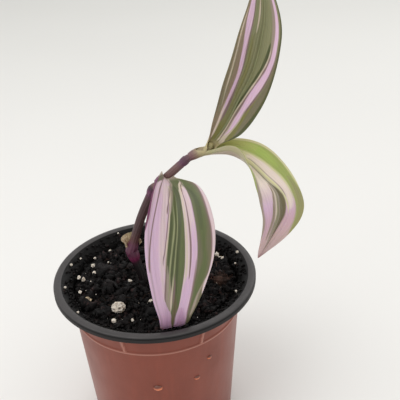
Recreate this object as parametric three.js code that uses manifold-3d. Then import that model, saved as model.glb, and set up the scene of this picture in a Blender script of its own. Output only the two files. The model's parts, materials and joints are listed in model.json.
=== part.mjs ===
// A potted tradescantia: one striped young shoot with three leaves in a thin nursery pot.
// Millimetres, +Z up. The origin is the centre of the pot's base, on the ground.
import * as THREE from 'three';
import { mergeVertices } from 'three/addons/utils/BufferGeometryUtils.js';
import Module from 'manifold-3d';

const wasm = await Module();
wasm.setup();

// ---- driving dimensions -------------------------------------------------

const CLEARANCE = 0.3; // air between neighbouring solids

// Pot: a 9 cm nursery pot of thin thermoformed sheet.
const POT_HEIGHT = 78;
const BASE_RADIUS = 32.4;
const TAPER = 0.0756; // growth of the wall's radius per millimetre of height
const WALL = 0.9;
const FLOOR = 1.2;
const RIM_RADIUS = 45;
const RIM_INNER_RADIUS = 41.7;
const RIM_DROP = 2.7; // height of the turned-down lip
const RIM_SHEET = 1.0;
const FUNNEL_DEPTH = 3.6; // height over which the rim slopes in to the wall
const LEDGE_HEIGHT = 63; // the ledge where the wall steps in to the stacking collar
const LEDGE_PROUD = 0.25;
const COLLAR_DEPTH = 0.3;
const POT_SIDES = 48;
const RIB_LENGTH = 10.4;
const RIB_WIDTH = 1.6;
const RIBS = [
  { angle: -115.5, lean: 11 }, // degrees round the wall, and out of the upright
  { angle: -61.5, lean: -11 },
];
const DRAIN_COUNT = 5;
const DRAIN_RADIUS = 3.5;
const DRAIN_CIRCLE = 19;

// Soil: black peat, a little below the rim.
const SOIL_LEVEL = 73.4;
const SOIL_SIDES = 48;
const SOIL_RINGS = 11;

// Stem: the centre line of each stretch, from the foot in the soil to the top of the shoot.
const STEM_FOOT = [0.9, -5.4, 55];
const SOIL_ENTRY = [-4.2, -3.7, 73.5];
const JOINT_1 = [-9.3, -2, 92];
const STEM_BEND = [-4, -1, 107];
const JOINT_2 = [2, 0, 119.8];
const UPPER_BEND = [9.2, 0, 126.1];
const JOINT_3 = [16.6, 0, 132.4];
const SHEATH_FOOT = [19.2, 0, 133.9];
const FORK = [25, 0, 136];
const SHOOT_TOP = [
  [26.6, 0, 137.3],
  [27.1, -0.2, 139.3],
];
const FOOT_RADIUS = 2.1;
const LOWER_RADIUS = 1.95;
const UPPER_RADIUS = 1.75;
const SHOOT_RADIUS = 0.95; // the soft top of the stem, inside the sheath
const SWELLINGS = [
  { at: [-8.7, -2.2, 89.7], radius: 3.1, length: 10, lean: [-0.27, 0.09, 1] },
  { at: JOINT_2, radius: 2.25, length: 6, lean: [0.7, 0, 1] },
  { at: JOINT_3, radius: 1.95, length: 4.6, lean: [1, 0, 0.7] },
];

// Leaves: stations from base to tip. Each has the midrib point, the direction across the blade,
// the half width, the angle of the fold at the midrib and the further turn out to the edge.
const LEAF_THICKNESS = 0.7;
const LEAF_COLUMNS = 10;
const LEAF_ROWS = 26;
const FRONT_LEAF = {
  midrib: [
    [8, -2.6, 125.3],
    [10.5, -12, 122.5],
    [10.5, -20.5, 114.5],
    [9.5, -27.5, 103.5],
    [8, -33, 92],
    [6.6, -36.3, 82.5],
    [5.6, -36.7, 75.9],
    [5.2, -31.5, 75.5],
  ],
  across: [
    [0.9, 0, -0.35],
    [1, 0.15, -0.1],
    [1, 0.15, -0.1],
    [0.95, 0.2, -0.1],
    [0.9, 0.3, 0],
    [0.9, 0.2, 0],
    [0.95, 0.14, 0],
    [1, 0, 0],
  ],
  halfWidth: [3.4, 11, 14.6, 14.6, 12, 7.5, 4.7, 0.4],
  fold: [9, 14, 15, 13, 13, 13, 0, 0],
  curl: [57, 28, 12, 7, 9, 12, 3, 3],
};
const SIDE_LEAF = {
  midrib: [
    [25, 0, 134.1],
    [34, 0, 133.6],
    [41, -2.5, 130.5],
    [47.5, -7, 125],
    [53, -11.5, 119.5],
    [54, -15.5, 112],
    [49.5, -18.5, 104],
    [43, -21.5, 95.5],
  ],
  across: [
    [-0.1, 1, 0.1],
    [0.15, 0.95, 0.15],
    [0.5, 0.85, 0.15],
    [0.65, 0.75, 0],
    [0.75, 0.65, -0.15],
    [0.8, 0.55, -0.15],
    [0.9, 0.4, 0],
    [0.95, 0.25, 0.05],
  ],
  halfWidth: [3.5, 6.6, 9.7, 12, 13.2, 12.2, 8.1, 0.4],
  fold: [0, 36, 30, 17, 3, 4, 13, 17],
  curl: [115, 60, 28, 9, -2, 0, 4, 4],
};
const TOP_LEAF = {
  midrib: [
    [27.2, 1.4, 138.8],
    [33.5, 3, 145],
    [39.5, 5, 155],
    [45.5, 6.5, 166],
    [49, 8, 177.5],
    [50.5, 8.5, 189.5],
    [48.6, 8.3, 207],
  ],
  across: [
    [-0.9, 0.1, 0.4],
    [-0.85, 0.1, 0.5],
    [-0.85, 0.2, 0.45],
    [-0.85, 0.3, 0.35],
    [-0.9, 0.35, 0.25],
    [-0.95, 0.3, 0.2],
    [-0.95, 0.1, 0.15],
  ],
  halfWidth: [3, 8.5, 11.6, 12.3, 11, 7.5, 0.4],
  fold: [0, 23, 28, 29, 27, 21, 15],
  curl: [98, 35, 28, 26, 22, 15, 8],
};
const SHEATH_WALL = 0.6;
const FRONT_SHEATH = { from: [4.6, 0, 122.1], to: [8.8, 0, 125.8], radius: 2.65 };
const SIDE_SHEATH = { from: SHEATH_FOOT, to: [25.4, 0, 136.1], radius: 2.05 };

// The torn papery cup that an old leaf left round the lowest joint.
const DRY_FOOT = 2.9;
const DRY_HEIGHT = 6.2;
const DRY_FLARE = 3;
const DRY_HALF_TURN = 2; // radians each way from the side it leans to

// ---- helpers --------------------------------------------------------------

const RAD = Math.PI / 180;

function wallRadius(z) {
  return BASE_RADIUS + TAPER * z;
}

function vector(point) {
  return new THREE.Vector3(...point);
}

// A manifold solid from a closed three.js geometry.
function solid(geometry) {
  const bare = geometry.clone();
  bare.deleteAttribute('normal');
  bare.deleteAttribute('uv');
  const merged = mergeVertices(bare, 1e-4);
  const index = merged.getIndex().array;
  const triangles = [];
  for (let i = 0; i < index.length; i += 3) {
    const [a, b, c] = [index[i], index[i + 1], index[i + 2]];
    if (a !== b && b !== c && c !== a) triangles.push(a, b, c);
  }
  return new wasm.Manifold(
    new wasm.Mesh({
      numProp: 3,
      vertProperties: new Float32Array(merged.getAttribute('position').array),
      triVerts: new Uint32Array(triangles),
    }),
  );
}

function geometryOf(body) {
  const mesh = body.getMesh();
  const geometry = new THREE.BufferGeometry();
  geometry.setAttribute('position', new THREE.BufferAttribute(mesh.vertProperties, 3));
  geometry.setIndex(new THREE.BufferAttribute(mesh.triVerts, 1));
  geometry.computeVertexNormals();
  return geometry;
}

function join(solids) {
  return solids.reduce((whole, piece) => whole.add(piece));
}

// A turned shape: the profile is a list of [radius, height].
function turned(profile, sides) {
  const points = profile.map(([r, z]) => new THREE.Vector2(r, z));
  return new THREE.LatheGeometry(points, sides).rotateX(Math.PI / 2);
}

// A rod between two or more points; inner is the radius of its bore, or 0.
function rod(points, radius, { inner = 0, sides = 14, steps = 2 } = {}) {
  const section = new THREE.Shape().absarc(0, 0, radius, 0, 2 * Math.PI);
  if (inner > 0) section.holes.push(new THREE.Path().absarc(0, 0, inner, 0, 2 * Math.PI));
  const path = new THREE.CatmullRomCurve3(points.map(vector));
  return new THREE.ExtrudeGeometry(section, { steps, curveSegments: sides / 2, extrudePath: path });
}

// An egg shape with its long axis along a direction.
function egg(centre, radii, direction = [0, 0, 1], [sides, rings] = [12, 8]) {
  const geometry = new THREE.SphereGeometry(1, sides, rings).rotateX(Math.PI / 2);
  const turn = new THREE.Quaternion().setFromUnitVectors(
    new THREE.Vector3(0, 0, 1),
    vector(direction).normalize(),
  );
  return geometry.scale(...radii).applyQuaternion(turn).translate(...centre);
}

// A small seeded source of numbers from 0 to 1.
function seeded(seed) {
  let state = seed;
  return () => {
    state = (state * 1664525 + 1013904223) % 4294967296;
    return state / 4294967296;
  };
}

// The value at v (0 to 1) on a smooth curve through evenly spaced values.
function along(values, v) {
  const last = values.length - 1;
  const x = Math.min(Math.max(v, 0), 1) * last;
  const i = Math.min(Math.floor(x), last - 1);
  const t = x - i;
  const b = values[i];
  const c = values[i + 1];
  const a = i > 0 ? values[i - 1] : 2 * b - c;
  const d = i + 2 <= last ? values[i + 2] : 2 * c - b;
  const cubic = 3 * b - a - 3 * c + d;
  const square = 2 * a - 5 * b + 4 * c - d;
  return 0.5 * (2 * b + (c - a) * t + square * t * t + cubic * t * t * t);
}

function alongPoints(points, v) {
  return new THREE.Vector3(...[0, 1, 2].map((axis) => along(points.map((p) => p[axis]), v)));
}

// A point of a leaf's sheet: u runs across from -1 to 1, v from base to tip, and side is +1 on
// the upper face or -1 on the lower face.
function leafPoint(leaf, u, v, side) {
  const step = 0.001;
  const ahead = alongPoints(leaf.midrib, Math.min(v + step, 1));
  const forward = ahead.sub(alongPoints(leaf.midrib, Math.max(v - step, 0))).normalize();
  const across = alongPoints(leaf.across, v).normalize();
  const up = forward.clone().cross(across).normalize();
  const halfWidth = along(leaf.halfWidth, v);
  const fold = along(leaf.fold, v) * RAD;
  let turn = along(leaf.curl, v) * RAD * Math.abs(u);
  if (Math.abs(turn) < 1e-4) turn = 1e-4;
  const reach = (halfWidth * Math.abs(u)) / turn;
  const out = Math.sign(u) * reach * (Math.sin(fold + turn) - Math.sin(fold));
  const rise = reach * (Math.cos(fold) - Math.cos(fold + turn));
  // The face is offset square to the sheet, except at the midrib, where it goes straight up.
  const lean = u === 0 ? 0 : Math.sign(u) * (fold + turn);
  const offset = (side * LEAF_THICKNESS) / 2;
  return alongPoints(leaf.midrib, v)
    .addScaledVector(across, out - offset * Math.sin(lean))
    .addScaledVector(up, rise + offset * Math.cos(lean));
}

// A closed sheet of columns by rows cells, both faces split into triangles alike. point gives the
// place of (column share, row share, side).
function sheet(columns, rows, point) {
  const positions = [];
  const index = [];
  const across = columns + 1;
  const layer = across * (rows + 1);
  for (const side of [1, -1]) {
    for (let j = 0; j <= rows; j += 1) {
      for (let i = 0; i <= columns; i += 1) {
        positions.push(...point(i / columns, j / rows, side).toArray());
      }
    }
  }
  for (let j = 0; j < rows; j += 1) {
    for (let i = 0; i < columns; i += 1) {
      const a = j * across + i;
      const [b, c, d] = [a + 1, a + across + 1, a + across];
      index.push(a, c, b, a, d, c);
      index.push(layer + a, layer + b, layer + c, layer + a, layer + c, layer + d);
    }
  }
  const edge = [];
  for (let i = 0; i < columns; i += 1) edge.push(i);
  for (let j = 0; j < rows; j += 1) edge.push(j * across + columns);
  for (let i = columns; i > 0; i -= 1) edge.push(rows * across + i);
  for (let j = rows; j > 0; j -= 1) edge.push(j * across);
  edge.forEach((a, k) => {
    const b = edge[(k + 1) % edge.length];
    index.push(a, b, layer + a, b, layer + b, layer + a);
  });
  const geometry = new THREE.BufferGeometry();
  geometry.setAttribute('position', new THREE.Float32BufferAttribute(positions, 3));
  geometry.setIndex(index);
  geometry.computeVertexNormals();
  return geometry;
}

function blade(leaf) {
  return sheet(LEAF_COLUMNS, LEAF_ROWS, (s, v, side) => leafPoint(leaf, 2 * s - 1, v, side));
}

// ---- pot --------------------------------------------------------------------

function potProfile() {
  const funnelFoot = POT_HEIGHT - FUNNEL_DEPTH;
  const lipTop = POT_HEIGHT - RIM_SHEET;
  const funnelBack = wallRadius(funnelFoot) + lipTop - funnelFoot + 0.3;
  const collarFoot = LEDGE_HEIGHT + 0.6;
  const collarTop = funnelFoot - 0.8;
  return [
    [0, 0],
    [BASE_RADIUS - 1.2, 0],
    [wallRadius(1), 1],
    [wallRadius(LEDGE_HEIGHT - 0.9), LEDGE_HEIGHT - 0.9],
    [wallRadius(LEDGE_HEIGHT) + LEDGE_PROUD, LEDGE_HEIGHT - 0.3],
    [wallRadius(collarFoot) - COLLAR_DEPTH, collarFoot],
    [wallRadius(collarTop) - COLLAR_DEPTH, collarTop],
    [funnelBack, lipTop],
    [RIM_RADIUS - RIM_SHEET, lipTop],
    [RIM_RADIUS - RIM_SHEET, POT_HEIGHT - RIM_DROP],
    [RIM_RADIUS, POT_HEIGHT - RIM_DROP],
    [RIM_RADIUS, POT_HEIGHT - 0.6],
    [RIM_RADIUS - 0.7, POT_HEIGHT],
    [RIM_INNER_RADIUS, POT_HEIGHT],
    [wallRadius(funnelFoot) - WALL, funnelFoot],
    [wallRadius(FLOOR + 1) - WALL, FLOOR + 1],
    [wallRadius(FLOOR) - WALL - 1, FLOOR],
    [0, FLOOR],
  ];
}

// A short rib that stands on the ledge, sunk into the collar.
function rib({ angle, lean }) {
  const middle = LEDGE_HEIGHT - 0.2 + RIB_LENGTH / 2;
  const block = new THREE.BoxGeometry(0.8, RIB_WIDTH, RIB_LENGTH);
  return block
    .rotateX(lean * RAD)
    .rotateY(Math.atan(TAPER))
    .translate(wallRadius(middle) - 0.25, 0, middle)
    .rotateZ(angle * RAD);
}

function drainHole(i) {
  const hole = new THREE.CylinderGeometry(DRAIN_RADIUS, DRAIN_RADIUS, 4 * FLOOR, 16);
  return hole
    .rotateX(Math.PI / 2)
    .translate(DRAIN_CIRCLE, 0, 0)
    .rotateZ((i * 2 * Math.PI) / DRAIN_COUNT);
}

function pot() {
  let body = solid(turned(potProfile(), POT_SIDES));
  for (const place of RIBS) body = body.add(solid(rib(place)));
  for (let i = 0; i < DRAIN_COUNT; i += 1) body = body.subtract(solid(drainHole(i)));
  return geometryOf(body);
}

// ---- soil ---------------------------------------------------------------------

// The lumpy surface of the peat, as a height above its mean level.
function relief(x, y) {
  const broad = 0.7 * Math.sin(0.21 * x + 1.3) * Math.cos(0.17 * y - 0.4);
  const clumps = 0.55 * Math.sin(0.62 * x - 0.35 * y) * Math.sin(0.55 * y + 0.2 * x + 2);
  const crumbs = 0.3 * Math.sin(1.5 * x + 0.6 * y) * Math.cos(1.3 * y - 0.5 * x);
  return broad + clumps + crumbs;
}

// Lumps of peat that stand out of the surface: centre, and half sizes.
const CLODS = [
  { x: -22.8, y: 11.9, radii: [3.6, 2.4, 1.6] },
  { x: -19.8, y: -1.2, radii: [3, 2.6, 2] },
  { x: -9.5, y: 13, radii: [1.6, 1.4, 1.3] },
  { x: 29, y: -4.2, radii: [4.4, 3.4, 2.4] },
  { x: 12, y: 24, radii: [3.2, 2.6, 1.8] },
  { x: 24, y: 14, radii: [3, 2.4, 1.7] },
];

// White perlite grains that show from above: centre and radius.
const GRAINS = [
  { x: -18.5, y: -27.2, radius: 1.2 },
  { x: -2.8, y: -15.1, radius: 0.9 },
  { x: -8.5, y: -16.4, radius: 0.7 },
  { x: -10.9, y: -27.6, radius: 0.7 },
  { x: -11.5, y: 0.5, radius: 0.8 },
  { x: 29.8, y: 15.5, radius: 1.1 },
  { x: 32, y: 11.5, radius: 1 },
  { x: -34.4, y: 6.2, radius: 1.1 },
  { x: -32.2, y: 3.1, radius: 1.1 },
  { x: -27.5, y: 8.5, radius: 0.9 },
  { x: -28.3, y: 15.2, radius: 0.9 },
  { x: -27.6, y: 20.8, radius: 0.7 },
  { x: -33.4, y: -5.6, radius: 0.7 },
  { x: -20.6, y: 26.8, radius: 0.7 },
];

// The two loose bits that lie on the peat; clear is the height of their centre over it.
const PERLITE_LUMP = { x: -16.5, y: -21.1, radius: 2.7, clear: 2.75 };
const BARK_CHIP = {
  x: -30.8,
  y: -11.8,
  radii: [2.1, 1.3, 0.7],
  tilt: [0.1, 0.3, 1],
  turn: 0.5,
  clear: 1.25,
};

function surfaceHeight(x, y) {
  return SOIL_LEVEL + relief(x, y);
}

function soil() {
  const top = SOIL_LEVEL;
  const bottom = FLOOR + CLEARANCE;
  const side = (z) => wallRadius(z) - WALL - CLEARANCE;
  const profile = [
    [0, bottom],
    [side(bottom) - 1.4, bottom],
    [side(bottom + 1.6), bottom + 1.6],
    [side(top - 2.4), top - 2.4],
  ];
  for (let i = SOIL_RINGS; i >= 0; i -= 1) {
    profile.push([((side(top) - 1.2) * i) / SOIL_RINGS, top]);
  }
  const geometry = turned(profile, SOIL_SIDES);
  const position = geometry.getAttribute('position');
  for (let i = 0; i < position.count; i += 1) {
    if (position.getZ(i) < top - 0.01) continue;
    position.setZ(i, surfaceHeight(position.getX(i), position.getY(i)));
  }
  const pieces = [solid(geometry)];
  const random = seeded(7);
  for (const { x, y, radii } of CLODS) {
    const tilt = [random() - 0.5, random() - 0.5, 2.5];
    pieces.push(solid(egg([x, y, surfaceHeight(x, y)], radii, tilt, [9, 6])));
  }
  for (const { x, y, radius } of GRAINS) {
    const grain = new THREE.IcosahedronGeometry(radius);
    grain.rotateZ(random() * Math.PI).translate(x, y, surfaceHeight(x, y) + 0.2 * radius);
    pieces.push(solid(grain));
  }
  const lean = vector(SOIL_ENTRY).sub(vector(STEM_FOOT));
  const mouth = vector(SOIL_ENTRY).addScaledVector(lean, 0.3);
  const floor = vector(STEM_FOOT).addScaledVector(lean.normalize(), -CLEARANCE);
  const hole = rod([floor.toArray(), mouth.toArray()], FOOT_RADIUS + CLEARANCE + 0.1);
  return geometryOf(join(pieces).subtract(solid(hole)));
}

function perliteLump() {
  const { x, y, radius, clear } = PERLITE_LUMP;
  const geometry = new THREE.IcosahedronGeometry(radius, 2);
  const position = geometry.getAttribute('position');
  for (let i = 0; i < position.count; i += 1) {
    const point = new THREE.Vector3().fromBufferAttribute(position, i);
    const bulge = 1 + 0.08 * Math.sin(2.3 * point.x + 1) * Math.cos(1.9 * point.y - 2.1 * point.z);
    position.setXYZ(i, ...point.multiplyScalar(bulge).toArray());
  }
  return geometry.scale(1.08, 0.95, 0.85).translate(x, y, surfaceHeight(x, y) + clear);
}

function barkChip() {
  const { x, y, radii, tilt, turn, clear } = BARK_CHIP;
  const chip = egg([0, 0, 0], radii, tilt, [9, 6]);
  return chip.rotateZ(turn).translate(x, y, surfaceHeight(x, y) + clear);
}

// ---- stem -------------------------------------------------------------------

function stem() {
  const pieces = [
    solid(rod([STEM_FOOT, SOIL_ENTRY, JOINT_1], FOOT_RADIUS, { steps: 6 })),
    solid(rod([JOINT_1, STEM_BEND, JOINT_2], LOWER_RADIUS, { steps: 8 })),
    solid(rod([JOINT_2, UPPER_BEND, JOINT_3], UPPER_RADIUS, { steps: 8 })),
    solid(rod([JOINT_3, SHEATH_FOOT, FORK, ...SHOOT_TOP], SHOOT_RADIUS, { steps: 14 })),
  ];
  for (const { at, radius, length, lean } of SWELLINGS) {
    pieces.push(solid(egg(at, [radius, radius, length / 2], lean, [14, 10])));
  }
  return geometryOf(join(pieces));
}

// ---- leaves -------------------------------------------------------------------

// The closed tube by which a leaf holds the stem, from just above the joint to the blade.
function sheath({ from, to, radius }) {
  return rod([from, to], radius, { inner: radius - SHEATH_WALL, sides: 16, steps: 1 });
}

function sheathedLeaf(leaf, holder) {
  return geometryOf(solid(blade(leaf)).add(solid(sheath(holder))));
}

function drySheath() {
  const foot = vector(JOINT_1);
  const rise = vector(STEM_BEND).sub(foot);
  return sheet(16, 6, (s, v, side) => {
    const turn = 1 - 2 * s;
    const torn = DRY_HEIGHT * (0.62 + 0.38 * Math.cos(2.2 * turn) + 0.1 * Math.sin(17 * s));
    const height = DRY_FOOT + v * torn;
    const flare = DRY_FLARE * v * v * Math.cos(turn);
    const radius = LOWER_RADIUS + CLEARANCE + SHEATH_WALL / 2 + flare + (side * SHEATH_WALL) / 2;
    const angle = Math.PI + turn * DRY_HALF_TURN;
    const around = new THREE.Vector3(radius * Math.cos(angle), radius * Math.sin(angle), 0);
    return around.add(foot).addScaledVector(rise, height / rise.z);
  });
}

// ---- assembly -----------------------------------------------------------------

function named(name, geometry, color, roughness) {
  const material = new THREE.MeshStandardMaterial({ color, roughness, metalness: 0 });
  const mesh = new THREE.Mesh(geometry, material);
  mesh.name = name;
  return mesh;
}

const group = new THREE.Group();
group.name = 'potted_tradescantia';
group.add(named('pot', pot(), 0xa8573e, 0.5));
group.add(named('soil', soil(), 0x1a1613, 0.95));
group.add(named('perlite_lump', perliteLump(), 0xe6dfd0, 0.9));
group.add(named('bark_chip', barkChip(), 0xa88a62, 0.9));
group.add(named('stem', stem(), 0x6a3f45, 0.5));
group.add(named('dry_sheath', drySheath(), 0xb8ab8e, 0.8));
group.add(named('leaf_front', sheathedLeaf(FRONT_LEAF, FRONT_SHEATH), 0x8f9a6a, 0.45));
group.add(named('leaf_side', sheathedLeaf(SIDE_LEAF, SIDE_SHEATH), 0x93aa4a, 0.45));
group.add(named('leaf_top', geometryOf(solid(blade(TOP_LEAF))), 0x76804d, 0.45));

export default group;
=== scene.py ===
import json
import random
from math import atan2, cos, degrees, exp, pi, radians, sin, sqrt, tan

import bmesh
import bpy
from bpy.props import FloatProperty, FloatVectorProperty, IntProperty, PointerProperty
from mathutils import Matrix, Vector, noise

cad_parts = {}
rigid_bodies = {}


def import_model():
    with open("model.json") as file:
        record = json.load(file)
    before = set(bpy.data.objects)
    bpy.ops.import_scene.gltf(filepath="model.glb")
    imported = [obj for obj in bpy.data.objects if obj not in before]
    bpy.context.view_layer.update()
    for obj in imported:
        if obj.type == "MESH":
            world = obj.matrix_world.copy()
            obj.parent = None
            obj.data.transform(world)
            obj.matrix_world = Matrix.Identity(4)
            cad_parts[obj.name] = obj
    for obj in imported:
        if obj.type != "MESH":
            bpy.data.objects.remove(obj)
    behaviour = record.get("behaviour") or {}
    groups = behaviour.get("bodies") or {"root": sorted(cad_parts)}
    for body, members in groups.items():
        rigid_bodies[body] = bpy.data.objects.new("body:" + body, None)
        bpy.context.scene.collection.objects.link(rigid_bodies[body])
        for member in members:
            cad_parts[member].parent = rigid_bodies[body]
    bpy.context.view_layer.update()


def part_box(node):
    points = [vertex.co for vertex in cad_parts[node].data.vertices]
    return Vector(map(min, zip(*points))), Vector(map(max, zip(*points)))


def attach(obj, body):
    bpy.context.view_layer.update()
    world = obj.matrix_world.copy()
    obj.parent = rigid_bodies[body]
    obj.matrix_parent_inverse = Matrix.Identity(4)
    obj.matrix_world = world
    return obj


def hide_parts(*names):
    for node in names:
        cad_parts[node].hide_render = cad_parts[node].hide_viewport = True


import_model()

bl_info = {
    "name": "Potted tradescantia",
    "version": (1, 0, 0),
    "blender": (4, 5, 0),
    "location": "View3D > Sidebar > Tradescantia",
    "description": "A striped young shoot in a nursery pot, made piece by piece round its frame",
    "category": "Add Mesh",
}

MM = 0.001
BODY = "root"


def tone(red, green, blue):
    """A colour as the eye reads it, 0 to 255 each, in the linear values that shaders take."""
    shares = [channel / 255 for channel in (red, green, blue)]
    return tuple(c / 12.92 if c <= 0.04045 else ((c + 0.055) / 1.055) ** 2.4 for c in shares)


def scaled(colour, share, lift=0):
    """The colour made brighter or darker by a share, and lifted by a little grey."""
    return [min(1, share * channel + lift) for channel in colour]


def tinted(colour, shares):
    """The colour with a share of its own for each channel."""
    return [channel * share for channel, share in zip(colour, shares)]


def colour_property(name, description, red, green, blue):
    return FloatVectorProperty(
        name=name,
        description=description,
        subtype="COLOR",
        size=3,
        min=0,
        max=1,
        default=tone(red, green, blue),
    )


def length_property(name, description, millimetres):
    return FloatProperty(
        name=name,
        description=description,
        default=millimetres * MM,
        min=0,
        unit="LENGTH",
        precision=5,
    )


# ---- sizes, in millimetres ---------------------------------------------------------------

POT_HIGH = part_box("pot")[1]
POT_HEIGHT = POT_HIGH.z / MM
RIM_INSET = 0.01  # keeps the dressed rim inside the solid one
RIM_WIDTH = 3.3
RIM_RADIUS = POT_HIGH.x / MM - RIM_INSET
RIM_INNER_RADIUS = RIM_RADIUS - RIM_WIDTH
BASE_RADIUS = 32.4
TAPER = 0.0756  # growth of the wall's radius per millimetre of height
WALL = 0.9
FLOOR = 1.2
RIM_DROP = 2.7  # height of the turned-down lip
RIM_SHEET = 1.0
FUNNEL_DEPTH = 3.6  # height over which the rim slopes in to the wall
LEDGE_HEIGHT = 63  # where the wall steps in to the stacking collar
COLLAR_DEPTH = 0.3
RIB_LENGTH = 10.4
RIBS = ((-115.5, 11), (-61.5, -11))  # degrees round the wall, and out of the upright
DRAIN_COUNT = 5
DRAIN_RADIUS = 3.5
DRAIN_CIRCLE = 19
DRAIN_SIDES = 40

SOIL_LEVEL = 73.4
SOIL_GAP = 0.3  # air between the peat and the wall
SOIL_RADIUS = BASE_RADIUS + TAPER * SOIL_LEVEL - WALL - SOIL_GAP
BED_RADIUS = SOIL_RADIUS - 0.6

STEM_FOOT = (0.9, -5.4, 55)
SOIL_ENTRY = (-4.2, -3.7, 73.5)
JOINT_1 = (-9.3, -2, 92)
STEM_BEND = (-4, -1, 107)
JOINT_2 = (2, 0, 119.8)
UPPER_BEND = (9.2, 0, 126.1)
JOINT_3 = (16.6, 0, 132.4)
SHEATH_FOOT = (19.2, 0, 133.9)
FORK = (25, 0, 136)
SHOOT_TOP = ((26.6, 0, 137.3), (27.1, -0.2, 139.3))

# Middles of the swellings that lie a little off the stem's own points.
SWELLING_1 = (-9.2, -2.05, 91.5)
SHEATH_MOUTH = (23, 0, 135.2)
SHOOT_BUD = (26.7, -0.1, 137.8)

# The papery cup round the lowest joint.
DRY_FOOT = 2.9  # how far over the joint it starts
DRY_RADIUS = 2.65
DRY_SHEET = 0.18
DRY_HEIGHT = 2.4  # height of its torn edge where it starts round the stem
DRY_BACK = 1.5  # what the edge gains at the flap
DRY_DROP = 2.4  # what it loses again beyond it
DRY_FLARE = 2.7
DRY_START = 216  # degrees round the stem, from which it wraps back
DRY_WRAP = 236
DRY_LEAN = 165  # degrees of the side to which the flap leans
DRY_COLUMNS = 170
DRY_ROWS = 44

# Each leaf: stations from the foot of its sheath to its tip, of which the first SHEATH_STATIONS
# wrap the stem and the rest are the blade. A station has the midrib's point, the direction
# across the blade, the half width, and in degrees the fold at the midrib and the further turn
# out to the edge. Ground gives the colours under the stripes, from 0 at the blade's base to 1 at
# its tip, and hold the sheath's colours at its foot and at the blade.
SHEATH_STATIONS = 2
FRONT_LEAF = {
    "name": "leaf_front",
    "midrib": [
        (4.6, -2.6, 121.9), (7, -2.7, 124.1),
        (8, -2.6, 125.3), (10.5, -12, 122.5), (10.5, -20.5, 114.5), (9.5, -27.5, 103.5),
        (8, -33, 92), (6.6, -36.3, 82.5), (5.6, -36.7, 75.9), (5.2, -31.5, 75.5),
    ],
    "across": [
        (0.7, 0, -0.7), (0.75, 0, -0.6),
        (0.9, 0, -0.35), (1, 0.15, -0.1), (1, 0.15, -0.1), (0.95, 0.2, -0.1),
        (0.9, 0.3, 0), (0.9, 0.2, 0), (0.95, 0.14, 0), (1, 0, 0),
    ],
    "half_width": [7.9, 7.7, 3.6, 11, 14.6, 14.6, 12, 7.5, 4.7, 0.4],
    "fold": [0, 0, 9, 14, 15, 13, 13, 13, 0, 0],
    "curl": [180, 168, 57, 28, 12, 7, 9, 12, 3, 3],
    "ground": [(0, "pale pink"), (0.22, "pink"), (0.6, "pink"), (0.78, "deep pink")],
    "hold": ("magenta", "taupe"),
}
SIDE_LEAF = {
    "name": "leaf_side",
    "midrib": [
        (18.6, 0, 131.9), (22, 0, 133.2),
        (25, 0, 134.1), (34, 0, 133.6), (41, -2.5, 130.5), (47.5, -7, 125),
        (53, -11.5, 119.5), (54, -15.5, 112), (49.5, -18.5, 104), (43, -21.5, 95.5),
    ],
    "across": [
        (0, 1, 0), (0, 1, 0),
        (-0.1, 1, 0.1), (0.15, 0.95, 0.15), (0.5, 0.85, 0.15), (0.65, 0.75, 0),
        (0.75, 0.65, -0.15), (0.8, 0.55, -0.15), (0.9, 0.4, 0), (0.95, 0.25, 0.05),
    ],
    "half_width": [5.3, 5.9, 3.9, 6.6, 9.7, 12, 13.2, 12.2, 8.1, 0.4],
    "fold": [0, 0, 0, 36, 30, 17, 3, 4, 13, 17],
    "curl": [180, 174, 115, 60, 28, 9, -2, 0, 4, 4],
    "ground": [(0, "cream"), (0.36, "cream"), (0.47, "blush"), (0.56, "pale pink"),
               (0.64, "pink"), (0.76, "deep rose"), (0.88, "rose")],
    "hold": ("plum", "straw"),
}
TOP_LEAF = {
    "name": "leaf_top",
    "midrib": [
        (24.2, 0.8, 134.6), (26.3, 1.1, 136.6),
        (28.1, 1.4, 138.9), (33.5, 3, 145), (39.5, 5, 155), (45.5, 6.5, 166),
        (49, 8, 177.5), (50.5, 8.5, 189.5), (48.6, 8.3, 206.7),
    ],
    "across": [
        (-0.9, 0.1, 0.4), (-0.9, 0.1, 0.4),
        (-0.9, 0.1, 0.4), (-0.85, 0.1, 0.5), (-0.85, 0.2, 0.45), (-0.85, 0.3, 0.35),
        (-0.9, 0.35, 0.25), (-0.95, 0.3, 0.2), (-0.95, 0.1, 0.15),
    ],
    "half_width": [4.6, 4.7, 4.3, 8.5, 11.6, 12.3, 11, 7.5, 0.4],
    "fold": [0, 0, 0, 23, 28, 29, 27, 21, 15],
    "curl": [165, 145, 100, 35, 28, 26, 22, 15, 8],
    "ground": [(0, "moss"), (0.14, "moss"), (0.32, "sage"), (1, "sage")],
    "hold": ("straw", "straw"),
}

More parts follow.
